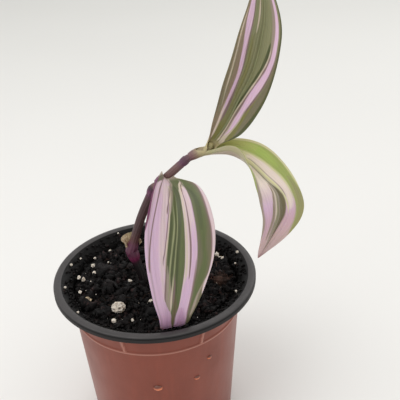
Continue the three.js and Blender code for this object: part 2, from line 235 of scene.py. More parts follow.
# The stripes of each leaf, painted in this order: a colour, how soft its edges are, and its
# left and right edge at some places along the blade, from 0 at the base to 1 at the tip.
# Edges run from -1 to 1 across the blade.
FRONT_STRIPES = [
    ("olive", 0.1, [(0, -1.1, -0.6), (0.05, -1.1, -0.62), (0.08, -1.0, -0.8), (0.1, -0.9, -0.9)]),
    ("magenta", 0.04, [
        (0.05, -1.1, -1.02), (0.09, -1.1, -0.93), (0.16, -1.1, -0.95), (0.28, -1.1, -0.985),
        (0.34, -1.1, -1.1),
    ]),
    ("pale pink", 0.12, [
        (0.1, -0.5, -0.2), (0.2, -0.52, -0.3), (0.35, -0.56, -0.38), (0.5, -0.58, -0.45),
        (0.6, -0.56, -0.54),
    ]),
    ("brown", 0.03, [
        (0, -0.66, -0.5), (0.05, -0.66, -0.58), (0.12, -0.71, -0.65), (0.2, -0.765, -0.715),
        (0.3, -0.815, -0.78), (0.4, -0.895, -0.85), (0.46, -0.935, -0.895), (0.475, -0.92, -0.92),
    ]),
    ("green", 0.03, [
        (0, 0.25, 1.1), (0.05, 0.12, 1.1), (0.08, 0, 0.62), (0.12, -0.12, 0.34),
        (0.2, -0.19, 0.21), (0.3, -0.28, 0.2), (0.4, -0.37, 0.21), (0.5, -0.41, 0.22),
        (0.6, -0.49, 0.19), (0.66, -0.42, 0.16), (0.7, -0.27, 0.12), (0.78, -0.22, 0.02),
        (1, -0.1, 0),
    ]),
    ("taupe", 0.12, [
        (0.05, -0.02, 0.16), (0.1, -0.2, -0.02), (0.18, -0.24, -0.14), (0.25, -0.22, -0.22),
    ]),
    ("taupe", 0.12, [
        (0.48, -0.36, -0.3), (0.54, -0.45, -0.24), (0.6, -0.5, -0.2), (0.66, -0.42, -0.22),
        (0.69, -0.3, -0.3),
    ]),
    ("cream", 0.03, [
        (0.1, -0.24, -0.18), (0.2, -0.26, -0.215), (0.3, -0.3, -0.25), (0.4, -0.385, -0.335),
        (0.47, -0.42, -0.385), (0.5, -0.42, -0.42),
    ]),
    ("brown", 0.03, [
        (0.12, -0.24, -0.2), (0.18, -0.3, -0.26), (0.23, -0.35, -0.31), (0.245, -0.33, -0.33),
    ]),
    ("brown", 0.03, [
        (0.2, -0.26, -0.24), (0.3, -0.34, -0.31), (0.35, -0.38, -0.35), (0.4, -0.425, -0.395),
        (0.44, -0.47, -0.45),
    ]),
    ("brown", 0.03, [
        (0.42, -0.37, -0.36), (0.48, -0.415, -0.38), (0.55, -0.475, -0.425), (0.61, -0.53, -0.48),
        (0.62, -0.5, -0.5),
    ]),
    ("deep green", 0.06, [
        (0.1, 0.05, 0.2), (0.2, 0.03, 0.15), (0.3, 0.01, 0.1), (0.4, -0.025, 0.05),
        (0.5, -0.04, 0.03), (0.57, -0.03, 0.01), (0.62, -0.02, -0.02),
    ]),
    ("deep green", 0.05, [
        (0.24, -0.07, -0.05), (0.32, -0.08, -0.035), (0.4, -0.155, -0.085), (0.5, -0.235, -0.165),
        (0.56, -0.22, -0.22),
    ]),
    ("deep green", 0.05, [
        (0.25, -0.2, -0.17), (0.35, -0.26, -0.2), (0.44, -0.32, -0.26), (0.5, -0.3, -0.3),
    ]),
    ("light green", 0.03, [
        (0.2, -0.13, -0.12), (0.3, -0.135, -0.085), (0.4, -0.215, -0.165), (0.5, -0.3, -0.25),
        (0.56, -0.33, -0.285), (0.62, -0.37, -0.36),
    ]),
    ("light green", 0.03, [
        (0.18, -0.01, 0), (0.3, -0.03, 0.005), (0.4, -0.08, -0.04), (0.5, -0.14, -0.095),
        (0.58, -0.2, -0.16), (0.62, -0.22, -0.2),
    ]),
    ("cream", 0.05, [
        (0.52, -0.16, -0.15), (0.6, -0.25, -0.18), (0.66, -0.3, -0.22), (0.7, -0.27, -0.27),
    ]),
    ("brown", 0.05, [
        (0.5, -0.11, -0.1), (0.56, -0.13, -0.06), (0.62, -0.17, -0.09), (0.67, -0.14, -0.14),
    ]),
    ("deep olive", 0.1, [
        (0.62, -0.1, 0), (0.7, -0.2, 0.1), (0.75, -0.24, 0.05), (0.82, -0.2, 0), (1, -0.1, 0),
    ]),
    ("pale pink", 0.04, [
        (0, 1.1, 1.1), (0.05, 0.75, 0.92), (0.08, 0.48, 0.72), (0.1, 0.36, 0.58),
        (0.15, 0.21, 0.475), (0.3, 0.2, 0.46), (0.5, 0.22, 0.53), (0.6, 0.19, 0.545),
        (0.7, 0.14, 0.6), (0.78, 0.04, 0.75), (1, 0, 0.9),
    ]),
    ("pink", 0.08, [
        (0.28, 0.41, 0.41), (0.35, 0.36, 0.46), (0.5, 0.36, 0.52), (0.56, 0.24, 0.53),
        (0.65, 0.19, 0.55), (0.75, 0.08, 0.66), (1, 0, 0.9),
    ]),
    ("deep pink", 0.4, [(0.68, 0.3, 0.3), (0.76, 0.1, 0.7), (0.85, 0, 0.9), (1, 0, 1.0)]),
    ("cream", 0.05, [
        (0.04, 0.85, 1.1), (0.07, 0.5, 0.84), (0.1, 0.3, 0.5), (0.14, 0.2, 0.29),
        (0.25, 0.2, 0.24), (0.4, 0.22, 0.265), (0.5, 0.24, 0.29), (0.55, 0.26, 0.26),
    ]),
    ("brown", 0.025, [
        (0.06, 0.68, 0.72), (0.09, 0.44, 0.49), (0.13, 0.3, 0.33), (0.2, 0.28, 0.315),
        (0.3, 0.295, 0.335), (0.4, 0.325, 0.37), (0.5, 0.345, 0.385), (0.53, 0.36, 0.385),
        (0.54, 0.37, 0.37),
    ]),
    ("olive", 0.04, [
        (0.03, 1.05, 1.1), (0.08, 0.72, 1.1), (0.12, 0.52, 0.98), (0.2, 0.475, 0.89),
        (0.3, 0.49, 0.91), (0.4, 0.52, 0.94), (0.5, 0.545, 0.95), (0.6, 0.575, 1.0),
        (0.68, 0.63, 1.1), (0.76, 0.74, 1.1), (0.84, 0.9, 1.1), (0.9, 1.1, 1.1),
    ]),
    ("brown", 0.05, [
        (0.45, 0.51, 0.52), (0.52, 0.52, 0.56), (0.62, 0.56, 0.62), (0.7, 0.63, 0.68),
        (0.8, 0.76, 0.8), (0.86, 0.84, 0.84),
    ]),
    ("brown", 0.04, [
        (0.12, 0.93, 0.98), (0.2, 0.86, 0.91), (0.35, 0.89, 0.93), (0.45, 0.92, 0.94),
        (0.5, 0.94, 0.94),
    ]),
    ("green", 0.14, [
        (0.05, 0.75, 1.0), (0.1, 0.56, 0.85), (0.2, 0.52, 0.82), (0.3, 0.53, 0.8),
        (0.38, 0.62, 0.76), (0.45, 0.68, 0.84), (0.55, 0.62, 0.9), (0.63, 0.66, 0.84),
        (0.7, 0.74, 0.74),
    ]),
    ("deep green", 0.14, [
        (0.1, 0.55, 0.6), (0.2, 0.58, 0.72), (0.27, 0.6, 0.68), (0.33, 0.64, 0.64),
    ]),
    ("taupe", 0.08, [(0.56, 0.9, 0.92), (0.62, 0.8, 0.88), (0.7, 0.82, 0.94), (0.76, 0.9, 0.9)]),
    ("pale pink", 0.05, [
        (0.07, 1.1, 1.1), (0.12, 0.97, 1.1), (0.2, 0.905, 1.1), (0.35, 0.93, 1.1),
        (0.5, 0.955, 1.1), (0.6, 0.98, 1.1), (0.64, 1.1, 1.1),
    ]),
]
SIDE_STRIPES = [
    ("pale lime", 0.2, [
        (0, -0.1, 1.1), (0.2, 0, 0.7), (0.28, 0.02, 0.5), (0.33, 0.02, 0.4), (0.4, 0.1, 0.2),
        (0.42, 0.15, 0.15),
    ]),
    ("blush", 0.3, [
        (0.26, 0.25, 0.25), (0.31, 0.18, 0.4), (0.4, 0.18, 0.5), (0.5, 0.2, 0.54),
        (0.6, 0.2, 0.57), (0.66, 0.25, 0.5), (0.7, 0.35, 0.35),
    ]),
    ("pale lime", 0.06, [
        (0.3, 0.38, 0.47), (0.38, 0.43, 0.52), (0.48, 0.47, 0.55), (0.56, 0.5, 0.57),
        (0.64, 0.56, 0.56),
    ]),
    ("lime", 0.08, [
        (0, 0.1, 1.1), (0.14, 0.38, 1.1), (0.22, 0.44, 0.93), (0.3, 0.45, 0.93), (0.4, 0.51, 0.95),
        (0.5, 0.55, 0.96), (0.6, 0.58, 1.0), (0.7, 0.62, 1.1), (0.78, 0.68, 1.1),
        (0.84, 0.82, 1.1), (0.88, 1.1, 1.1),
    ]),
    ("dull lime", 0.3, [
        (0.5, 0.75, 0.75), (0.6, 0.62, 1.0), (0.67, 0.62, 1.1), (0.75, 0.66, 1.1),
        (0.82, 0.76, 1.1), (0.88, 1.0, 1.0),
    ]),
    ("bright lime", 0.3, [
        (0.05, 0.6, 1.0), (0.15, 0.5, 1.0), (0.25, 0.48, 0.92), (0.34, 0.54, 0.84),
        (0.44, 0.7, 0.7),
    ]),
    # Painted light: a lighter lime laid over the base of the band, where the leaf lies in shade.
    ("sunny lime", 0.6, [(0, 0, 1.1), (0.1, 0.1, 1.1), (0.2, 0.45, 0.95), (0.3, 0.7, 0.7)]),
    ("pale lime", 0.08, [
        (0.12, 0.92, 1.1), (0.4, 0.955, 1.1), (0.55, 0.975, 1.1), (0.62, 1.1, 1.1),
    ]),
    ("pale lime", 0.05, [
        (0.3, 0.03, 0.16), (0.4, 0.04, 0.14), (0.5, 0.05, 0.15), (0.56, 0.08, 0.18),
        (0.62, 0.15, 0.24), (0.67, 0.2, 0.27), (0.73, 0.25, 0.25),
    ]),
    ("taupe", 0.05, [
        (0.3, 0.17, 0.2), (0.38, 0.155, 0.19), (0.5, 0.165, 0.2), (0.58, 0.2, 0.24),
        (0.62, 0.25, 0.25),
    ]),
    ("light olive", 0.1, [
        (0.3, -0.06, 0.01), (0.38, -0.1, 0.03), (0.48, -0.12, 0.03), (0.56, -0.1, 0.06),
        (0.6, -0.05, -0.05),
    ]),
    ("deep olive", 0.08, [
        (0.5, -0.03, 0.0), (0.56, -0.06, 0.09), (0.62, -0.14, 0.15), (0.7, -0.2, 0.12),
        (0.78, -0.22, 0.07), (0.84, -0.16, 0.05), (0.92, -0.06, 0.03), (1, -0.02, 0.02),
    ]),
    ("taupe", 0.16, [
        (0.5, -0.2, -0.08), (0.6, -0.34, -0.14), (0.7, -0.45, -0.2), (0.8, -0.46, -0.2),
        (0.9, -0.3, -0.1), (0.96, -0.2, -0.2),
    ]),
    ("light olive", 0.16, [
        (0.56, -0.16, -0.1), (0.66, -0.3, -0.18), (0.76, -0.36, -0.2), (0.84, -0.25, -0.25),
    ]),
    ("cream", 0.05, [
        (0.48, -0.2, -0.16), (0.55, -0.24, -0.18), (0.65, -0.35, -0.28), (0.72, -0.4, -0.35),
        (0.76, -0.38, -0.38),
    ]),
    ("umber", 0.06, [
        (0.5, -0.22, -0.2), (0.56, -0.33, -0.25), (0.62, -0.44, -0.35), (0.68, -0.53, -0.42),
        (0.76, -0.59, -0.48), (0.83, -0.6, -0.5), (0.88, -0.52, -0.52),
    ]),
    ("lime", 0.2, [
        (0, -1.1, -0.6), (0.25, -1.1, -0.6), (0.35, -1.1, -0.7), (0.45, -1.1, -0.8),
        (0.52, -1.1, -0.92), (0.6, -1.1, -1.1),
    ]),
    ("taupe", 0.08, [
        (0.42, -0.86, -0.8), (0.52, -1.0, -0.84), (0.65, -1.1, -0.92), (0.8, -1.1, -0.96),
        (0.86, -1.1, -1.1),
    ]),
]
TOP_STRIPES = [
    ("moss", 0.2, [
        (0.25, 0.2, 0.2), (0.35, 0.17, 0.25), (0.5, 0.22, 0.31), (0.6, 0.28, 0.36),
        (0.7, 0.38, 0.38),
    ]),
    ("umber", 0.05, [
        (0, 0.4, 1.1), (0.1, 0.5, 1.1), (0.2, 0.6, 1.1), (0.3, 0.52, 1.1), (0.4, 0.5, 1.1),
        (0.5, 0.56, 1.1), (0.6, 0.64, 1.1), (0.7, 0.72, 1.1), (0.8, 0.78, 1.1), (1, 0.85, 1.1),
    ]),
    ("light olive", 0.08, [
        (0.22, 0.74, 0.8), (0.3, 0.66, 0.88), (0.4, 0.7, 0.88), (0.5, 0.78, 0.9), (0.6, 0.83, 0.9),
        (0.68, 0.88, 0.88),
    ]),
    ("cream", 0.05, [
        (0.28, 0.7, 0.72), (0.38, 0.76, 0.81), (0.5, 0.82, 0.875), (0.62, 0.85, 0.9),
        (0.75, 0.88, 0.93), (0.85, 0.91, 0.91),
    ]),
    ("grey olive", 0.06, [(0.2, 0.96, 1.1), (0.4, 0.9, 1.1), (0.6, 0.94, 1.1), (1, 0.97, 1.1)]),
    ("brown", 0.05, [
        (0.2, 0.36, 0.5), (0.3, 0.29, 0.42), (0.36, 0.32, 0.38), (0.45, 0.37, 0.41),
        (0.6, 0.44, 0.49), (0.8, 0.5, 0.55), (1, 0.6, 0.6),
    ]),
    ("blush", 0.1, [
        (0.06, 0.45, 0.6), (0.15, 0.47, 0.64), (0.22, 0.47, 0.62), (0.3, 0.42, 0.54),
        (0.36, 0.45, 0.45),
    ]),
    ("bright pink", 0.05, [
        (0.24, 0.5, 0.54), (0.3, 0.41, 0.54), (0.36, 0.385, 0.52), (0.45, 0.41, 0.54),
        (0.55, 0.47, 0.62), (0.65, 0.51, 0.68), (0.75, 0.54, 0.78), (0.85, 0.58, 0.85),
        (1, 0.66, 0.9),
    ]),
    ("moss", 0.1, [
        (0, -1.1, -0.2), (0.06, -1.1, -0.25), (0.1, -1.1, -0.5), (0.2, -1.1, -0.46),
        (0.3, -1.1, -0.48), (0.38, -1.1, -0.6), (0.46, -1.1, -1.1),
    ]),
    ("grey olive", 0.12, [
        (0.14, -1.1, -0.75), (0.24, -1.1, -0.6), (0.35, -1.1, -0.62), (0.45, -1.1, -0.74),
        (0.6, -1.1, -0.88), (1, -1.1, -0.92),
    ]),
    ("deep green", 0.08, [
        (0.1, -1.1, -0.9), (0.2, -1.1, -0.82), (0.3, -1.1, -0.87), (0.5, -1.1, -0.93),
        (0.8, -1.1, -0.96), (1, -1.1, -0.97),
    ]),
    ("deep green", 0.05, [
        (0.12, -0.07, -0.02), (0.2, -0.06, 0.03), (0.3, -0.1, -0.02), (0.4, -0.18, -0.1),
        (0.47, -0.26, -0.16), (0.55, -0.41, -0.28), (0.62, -0.5, -0.36), (0.68, -0.48, -0.48),
    ]),
    ("cream", 0.04, [
        (0.05, -0.3, -0.15), (0.12, -0.16, -0.1), (0.2, -0.135, -0.08), (0.28, -0.135, -0.09),
        (0.35, -0.2, -0.15), (0.42, -0.26, -0.2), (0.5, -0.39, -0.32), (0.58, -0.53, -0.46),
        (0.66, -0.6, -0.54), (0.72, -0.6, -0.6),
    ]),
    ("brown", 0.04, [
        (0.08, -0.3, -0.22), (0.15, -0.22, -0.15), (0.25, -0.21, -0.14), (0.35, -0.26, -0.2),
        (0.45, -0.37, -0.3), (0.5, -0.44, -0.375), (0.57, -0.57, -0.5), (0.65, -0.62, -0.62),
    ]),
    ("cream", 0.1, [
        (0.03, -0.9, -0.4), (0.08, -0.62, -0.28), (0.14, -0.48, -0.22), (0.24, -0.45, -0.22),
        (0.3, -0.36, -0.36),
    ]),
    ("bright pink", 0.06, [
        (0.12, -0.36, -0.3), (0.22, -0.42, -0.22), (0.3, -0.44, -0.24), (0.4, -0.55, -0.28),
        (0.5, -0.7, -0.44), (0.58, -0.8, -0.58), (0.68, -0.84, -0.63), (0.8, -0.82, -0.62),
        (1, -0.8, -0.62),
    ]),
    ("brown", 0.05, [
        (0.3, -0.51, -0.46), (0.4, -0.63, -0.56), (0.5, -0.77, -0.71), (0.6, -0.87, -0.83),
        (0.65, -0.88, -0.88),
    ]),
    ("taupe", 0.08, [
        (0.6, -0.6, -0.58), (0.7, -0.64, -0.5), (0.8, -0.62, -0.46), (1, -0.62, -0.5),
    ]),
    ("light green", 0.04, [
        (0.04, -0.02, 0.02), (0.5, -0.025, 0.025), (0.9, -0.02, 0.02), (1, 0, 0),
    ]),
    ("cream", 0.05, [
        (0.7, 0.26, 0.26), (0.76, 0.23, 0.29), (0.84, 0.22, 0.31), (0.95, 0.24, 0.26),
        (1, 0.25, 0.25),
    ]),
]


# ---- settings that a user may change ------------------------------------------------------


class TRADESCANTIA_PG_pot(bpy.types.PropertyGroup):
    """The nursery pot."""

    ledge: length_property("Ledge", "How far the ledge stands proud of the wall", 0.25)
    rib: length_property("Ribs", "How far the ribs stand proud of the wall", 0.2)
    edge: length_property("Edge", "Rounding of the rim's corners", 0.3)
    outside: colour_property("Outside", "The brown outer skin", 127, 56, 36)
    inside: colour_property("Inside", "The black inner skin and rim", 61, 58, 58)


class TRADESCANTIA_PG_soil(bpy.types.PropertyGroup):
    """The peat and what lies in it."""

    crumbs: IntProperty(name="Crumbs", description="Loose crumbs of peat", default=1500, min=0)
    clods: IntProperty(name="Clods", description="Bigger clods of peat", default=230, min=0)
    grains: IntProperty(name="Grains", description="Small perlite grains", default=170, min=0)
    fibres: IntProperty(name="Fibres", description="Loose peat fibres", default=170, min=0)
    peat: colour_property("Peat", "The moist peat", 15, 12, 12)
    coir: colour_property("Coir", "The reddish fibrous clod", 70, 50, 42)
    perlite: colour_property("Perlite", "The expanded white grains", 226, 216, 202)
    bark: colour_property("Bark", "The tan chip", 196, 176, 146)


class TRADESCANTIA_PG_stem(bpy.types.PropertyGroup):
    """The stem and the dry remnant on it."""

    ridge: length_property("Ridges", "Height of the fine ridges along the stem", 0.05)
    maroon: colour_property("Maroon", "The stretch over the lowest joint", 66, 40, 42)
    brown: colour_property("Brown", "The upper stem", 104, 74, 72)
    joint: colour_property("Joint", "The magenta of each joint", 86, 38, 62)
    dry: colour_property("Dry leaf", "The papery remnant", 174, 156, 130)


class TRADESCANTIA_PG_leaf(bpy.types.PropertyGroup):
    """The three leaves."""

    thickness: length_property("Thickness", "Thickness of the blade at its midrib", 0.45)
    groove: length_property("Groove", "Depth of the channel along the midrib", 0.3)
    vein: length_property("Veins", "Height of the ribs over the long veins", 0.05)
    pink: colour_property("Pink", "The broad pink bands", 209, 178, 203)
    pale_pink: colour_property("Pale pink", "The pink by the base and the edges", 216, 194, 198)
    deep_pink: colour_property("Deep pink", "The pink towards the tip", 184, 145, 176)
    bright_pink: colour_property("Bright pink", "The bands of the top leaf", 226, 194, 218)
    rose: colour_property("Rose", "The dusty pink of the side leaf's tip", 198, 170, 170)
    deep_rose: colour_property("Deep rose", "The pink over that tip", 200, 164, 180)
    blush: colour_property("Blush", "The warm white of the side leaf", 232, 216, 204)
    magenta: colour_property("Magenta", "The shaded margin near the stem", 110, 48, 88)
    plum: colour_property("Plum", "The side leaf's sheath by the joint", 116, 80, 84)
    cream: colour_property("Cream", "The pale lines", 208, 194, 174)
    straw: colour_property("Straw", "The sheaths near the blade", 176, 164, 122)
    taupe: colour_property("Taupe", "The blurred mix of pink and green", 158, 144, 130)
    umber: colour_property("Umber", "The brownish margin of the top leaf", 144, 128, 104)
    brown: colour_property("Brown", "The thin dark lines", 132, 108, 106)
    green: colour_property("Green", "The green bands", 91, 101, 56)
    deep_green: colour_property("Deep green", "The dark streaks in the green", 74, 82, 44)
    light_green: colour_property("Light green", "The thin lines in the green", 148, 152, 112)
    olive: colour_property("Olive", "The greyed green by the margins", 108, 104, 78)
    light_olive: colour_property("Light olive", "The paler greyed green", 134, 130, 98)
    deep_olive: colour_property("Deep olive", "The dark wedge along the midrib", 106, 98, 66)
    grey_olive: colour_property("Grey olive", "The margins of the top leaf", 120, 114, 88)
    sage: colour_property("Sage", "The green of the top leaf", 132, 133, 97)
    moss: colour_property("Moss", "The same green near the base", 126, 124, 66)
    lime: colour_property("Lime", "The green band of the side leaf", 157, 170, 90)
    # Painted light: a lighter lime for the side leaf's shaded base.
    bright_lime: colour_property("Bright lime", "That band near its base", 168, 190, 92)
    sunny_lime: colour_property("Painted light lime", "That band at its very base", 186, 190, 112)
    pale_lime: colour_property("Pale lime", "The lines beside the midrib", 212, 208, 160)
    dull_lime: colour_property("Dull lime", "That band lower down", 148, 146, 94)
    underside: colour_property("Underside", "The greyish lower face", 204, 188, 170)


class TRADESCANTIA_PG_stage(bpy.types.PropertyGroup):
    """Floor, lights and camera."""

    floor: colour_property("Floor", "The pale floor", 232, 231, 228)
    sky: FloatProperty(name="Sky", description="Brightness all round", default=0.9, min=0)
    key: FloatProperty(name="Key light", description="Power in watts", default=3.2, min=0)
    distance: length_property("Distance", "From the camera to the rim's centre", 315.4)
    lens: FloatProperty(name="Lens", description="Focal length in mm", default=63, min=1)
    elevation: FloatProperty(
        name="Elevation", description="Height angle", default=radians(34.71), subtype="ANGLE"
    )


# ---- meshes ---------------------------------------------------------------------------------

MERGE = 0.001  # points nearer than this become one


def finished(name, bm, materials, replaces):
    """Turns a bmesh in millimetres into a piece that rides on the part."""
    bmesh.ops.scale(bm, vec=(MM, MM, MM), verts=bm.verts)
    mesh = bpy.data.meshes.new(name)
    bm.to_mesh(mesh)
    bm.free()
    mesh.shade_smooth()
    for material in materials:
        mesh.materials.append(material)
    piece = bpy.data.objects.new(name, mesh)
    bpy.context.scene.collection.objects.link(piece)
    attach(piece, BODY)
    if replaces:
        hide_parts(*replaces)
    return piece


def tidy_normals(bm):
    """Joins doubled points, drops empty faces and turns every face outwards."""
    bmesh.ops.remove_doubles(bm, verts=bm.verts, dist=MERGE)
    bmesh.ops.dissolve_degenerate(bm, edges=bm.edges, dist=MERGE / 10)
    bmesh.ops.recalc_face_normals(bm, faces=bm.faces)


def grid(columns, rows, point):
    """A sheet of cells, each vertex moved to point(u, v), with u and v from 0 to 1."""
    bm = bmesh.new()
    bm.loops.layers.uv.new("UVMap")
    bmesh.ops.create_grid(bm, x_segments=columns, y_segments=rows, size=1, calc_uvs=True)
    for vertex in bm.verts:
        vertex.co = point((vertex.co.x + 1) / 2, (vertex.co.y + 1) / 2)
    bmesh.ops.remove_doubles(bm, verts=bm.verts, dist=MERGE)
    return bm


def along(values, x):
    """The value at x on a smooth curve through values, which stand at 0, 1, 2 and so on."""
    last = len(values) - 1
    i = min(int(max(x, 0)), last - 1)
    t = min(max(x, 0), last) - i
    b, c = values[i], values[i + 1]
    a = values[i - 1] if i > 0 else 2 * b - c
    d = values[i + 2] if i + 2 <= last else 2 * c - b
    square = 2 * a - 5 * b + 4 * c - d
    cubic = 3 * b - a - 3 * c + d
    return 0.5 * (2 * b + (c - a) * t + square * t * t + cubic * t * t * t)


def along_points(points, x):
    """The same for points in space."""
    return Vector([along([point[axis] for point in points], x) for axis in range(3)])


def smooth(low, high, value):
    """0 below low, 1 above high, and an even ramp between them."""
    share = min(max((value - low) / (high - low), 0), 1)
    return share * share * (3 - 2 * share)


# ---- paint ----------------------------------------------------------------------------------


def scattering(weight, reach):
    """Light that spreads under the surface, by reach in millimetres for each colour."""
    return {
        "Subsurface Weight": weight,
        "Subsurface Radius": [distance * MM for distance in reach],
        "Subsurface Scale": 1,
    }


class Paint:
    """Lays out the nodes of one material, from coordinates to the surface shader."""

    def __init__(self, name, roughness, surface):
        self.material = bpy.data.materials.new(name)
        self.material.use_nodes = True
        self.tree = self.material.node_tree
        self.shader = self.tree.nodes["Principled BSDF"]
        self.shader.inputs["Roughness"].default_value = roughness
        for socket, value in surface.items():
            self.shader.inputs[socket].default_value = value

    def feed(self, socket, value):
        """Links a socket to another, or sets it to a number or colour."""
        if isinstance(value, bpy.types.NodeSocket):
            self.tree.links.new(value, socket)
        elif value is not None:
            is_colour = socket.type == "RGBA" and len(value) == 3
            socket.default_value = (*value, 1) if is_colour else value

    def node(self, kind, inputs, output=0, **settings):
        """Adds a node with its settings and inputs, and gives one of its outputs."""
        node = self.tree.nodes.new(kind)
        for key, value in settings.items():
            setattr(node, key, value)
        for key, value in inputs.items():
            self.feed(node.inputs[key], value)
        return node.outputs[output]

    def objects(self):
        return self.node("ShaderNodeTexCoord", {}, "Object")

    def uv(self):
        """The piece's own two directions, across or round it and along it."""
        place = self.node("ShaderNodeTexCoord", {}, "UV")
        split = self.node("ShaderNodeSeparateXYZ", {0: place}, 0)
        return split, split.node.outputs[1]

    def laid_flat(self, u, v):
        """A place on the unrolled sheet, for patterns that follow it."""
        return self.node("ShaderNodeCombineXYZ", {0: u, 1: v})

    def attribute(self, name):
        """A number that the mesh holds at each vertex."""
        return self.node("ShaderNodeAttribute", {}, 2, attribute_name=name)

    def math(self, operation, a, b=None, clamp=False):
        return self.node("ShaderNodeMath", {0: a, 1: b}, operation=operation, use_clamp=clamp)

    def mix(self, share, a, b, blend="MIX"):
        inputs = {0: share, 6: a, 7: b}
        return self.node("ShaderNodeMix", inputs, 2, data_type="RGBA", blend_type=blend)

    def times(self, colour, factors):
        """The colour with each channel multiplied by its factor."""
        return self.mix(1, colour, factors, "MULTIPLY")

    def stretched(self, place, scale):
        return self.node("ShaderNodeMapping", {"Vector": place, "Scale": scale})

    def noise(self, place, scale, detail=3, roughness=0.5):
        inputs = {"Vector": place, "Scale": scale, "Detail": detail, "Roughness": roughness}
        return self.node("ShaderNodeTexNoise", inputs)

    def cells(self, place, scale):
        return self.node("ShaderNodeTexVoronoi", {"Vector": place, "Scale": scale})

    def span(self, value, low, high, to_low=0, to_high=1):
        """value from low..high to to_low..to_high, held at both ends."""
        inputs = {0: value, 1: low, 2: high, 3: to_low, 4: to_high}
        return self.node("ShaderNodeMapRange", inputs, interpolation_type="SMOOTHSTEP")

    def curve(self, value, points):
        """A smooth curve through points, all between 0 and 1."""
        out = self.node("ShaderNodeFloatCurve", {1: value})
        mapping = out.node.mapping
        curve = mapping.curves[0]
        for place in points[1:-1]:
            curve.points.new(*place)
        curve.points[0].location = points[0]
        curve.points[len(points) - 1].location = points[-1]
        mapping.extend = "HORIZONTAL"
        mapping.update()
        return out

    def ramp(self, value, stops):
        """Colours by value: each stop is a position from 0 to 1 and its colour."""
        out = self.node("ShaderNodeValToRGB", {0: value})
        band = out.node.color_ramp
        band.elements[0].position, band.elements[1].position = stops[0][0], stops[-1][0]
        band.elements[0].color, band.elements[1].color = (*stops[0][1], 1), (*stops[-1][1], 1)
        for position, colour in stops[1:-1]:
            band.elements.new(position).color = (*colour, 1)
        return out

    def bump(self, height, distance, normal=None):
        inputs = {"Height": height, "Distance": distance, "Normal": normal}
        return self.node("ShaderNodeBump", inputs)

    def surface(self, colour, roughness=None, normal=None):
        """Ends the material: its colour and, where given, its roughness and normal."""
        self.feed(self.shader.inputs["Base Color"], colour)
        self.feed(self.shader.inputs["Roughness"], roughness)
        self.feed(self.shader.inputs["Normal"], normal)
        return self.material


# ---- pot ------------------------------------------------------------------------------------


LIP_EDGE = 0.7  # where the rim starts to round over its top


def wall_radius(z):
    """Outer radius of the tapered wall at a height."""
    return BASE_RADIUS + TAPER * z


def steps(start, end, step):
    """Heights from start to end, about step apart, both ends included."""
    count = max(1, round(abs(end - start) / step))
    return [start + (end - start) * i / count for i in range(count + 1)]


def pot_profile():
    """Radius and height of the pot's section, from the middle of its foot round to its floor."""
    funnel_foot = POT_HEIGHT - FUNNEL_DEPTH
    lip_top = POT_HEIGHT - RIM_SHEET
    funnel_back = wall_radius(funnel_foot) + lip_top - funnel_foot + 0.3
    collar_top = funnel_foot - 0.8
    outside = steps(1, LEDGE_HEIGHT - 3, 6)
    outside += steps(LEDGE_HEIGHT - 1.6, LEDGE_HEIGHT + 1.4, 0.2)
    outside += steps(LEDGE_HEIGHT + 2, collar_top, 0.9)
    inside = steps(funnel_foot, FLOOR + 1, 9)
    profile = [(0, 0), (BASE_RADIUS - 4, 0), (BASE_RADIUS - 1.2, 0), (BASE_RADIUS - 0.35, 0.25)]
    profile += [(wall_radius(z), z) for z in outside]
    profile += [
        (funnel_back, lip_top),
        (RIM_RADIUS - RIM_SHEET, lip_top),
        (RIM_RADIUS - RIM_SHEET, POT_HEIGHT - RIM_DROP),
        (RIM_RADIUS, POT_HEIGHT - RIM_DROP),
        (RIM_RADIUS, POT_HEIGHT - LIP_EDGE),
        (RIM_RADIUS - 0.25, POT_HEIGHT - 0.2),
        (RIM_RADIUS - 0.8, POT_HEIGHT),
        (RIM_INNER_RADIUS + 0.5, POT_HEIGHT),
        (RIM_INNER_RADIUS, POT_HEIGHT - 0.25),
    ]
    profile += [(wall_radius(z) - WALL, z) for z in inside]
    profile += [(wall_radius(FLOOR) - WALL - 1, FLOOR), (0, FLOOR)]
    return profile


def wall_relief(angle, z, settings):
    """How far the wall stands out or in: the ledge, the collar over it and the ribs."""
    ledge, rib = settings.ledge / MM, settings.rib / MM
    rise = smooth(LEDGE_HEIGHT - 1.1, LEDGE_HEIGHT - 0.4, z)
    fall = smooth(LEDGE_HEIGHT - 0.3, LEDGE_HEIGHT + 0.6, z)
    out = ledge * rise - (ledge + COLLAR_DEPTH) * fall
    above = z - LEDGE_HEIGHT
    radius = wall_radius(z)
    for middle, lean in RIBS:
        shift = degrees(tan(radians(lean)) * (above - RIB_LENGTH / 2) / radius)
        beside = abs(radians(angle - middle + shift)) * radius
        ridge = (rib + COLLAR_DEPTH) * (1 - smooth(0.35, 1.15, beside)) - COLLAR_DEPTH
        if above > 0:
            out = max(out, ridge)
    return out


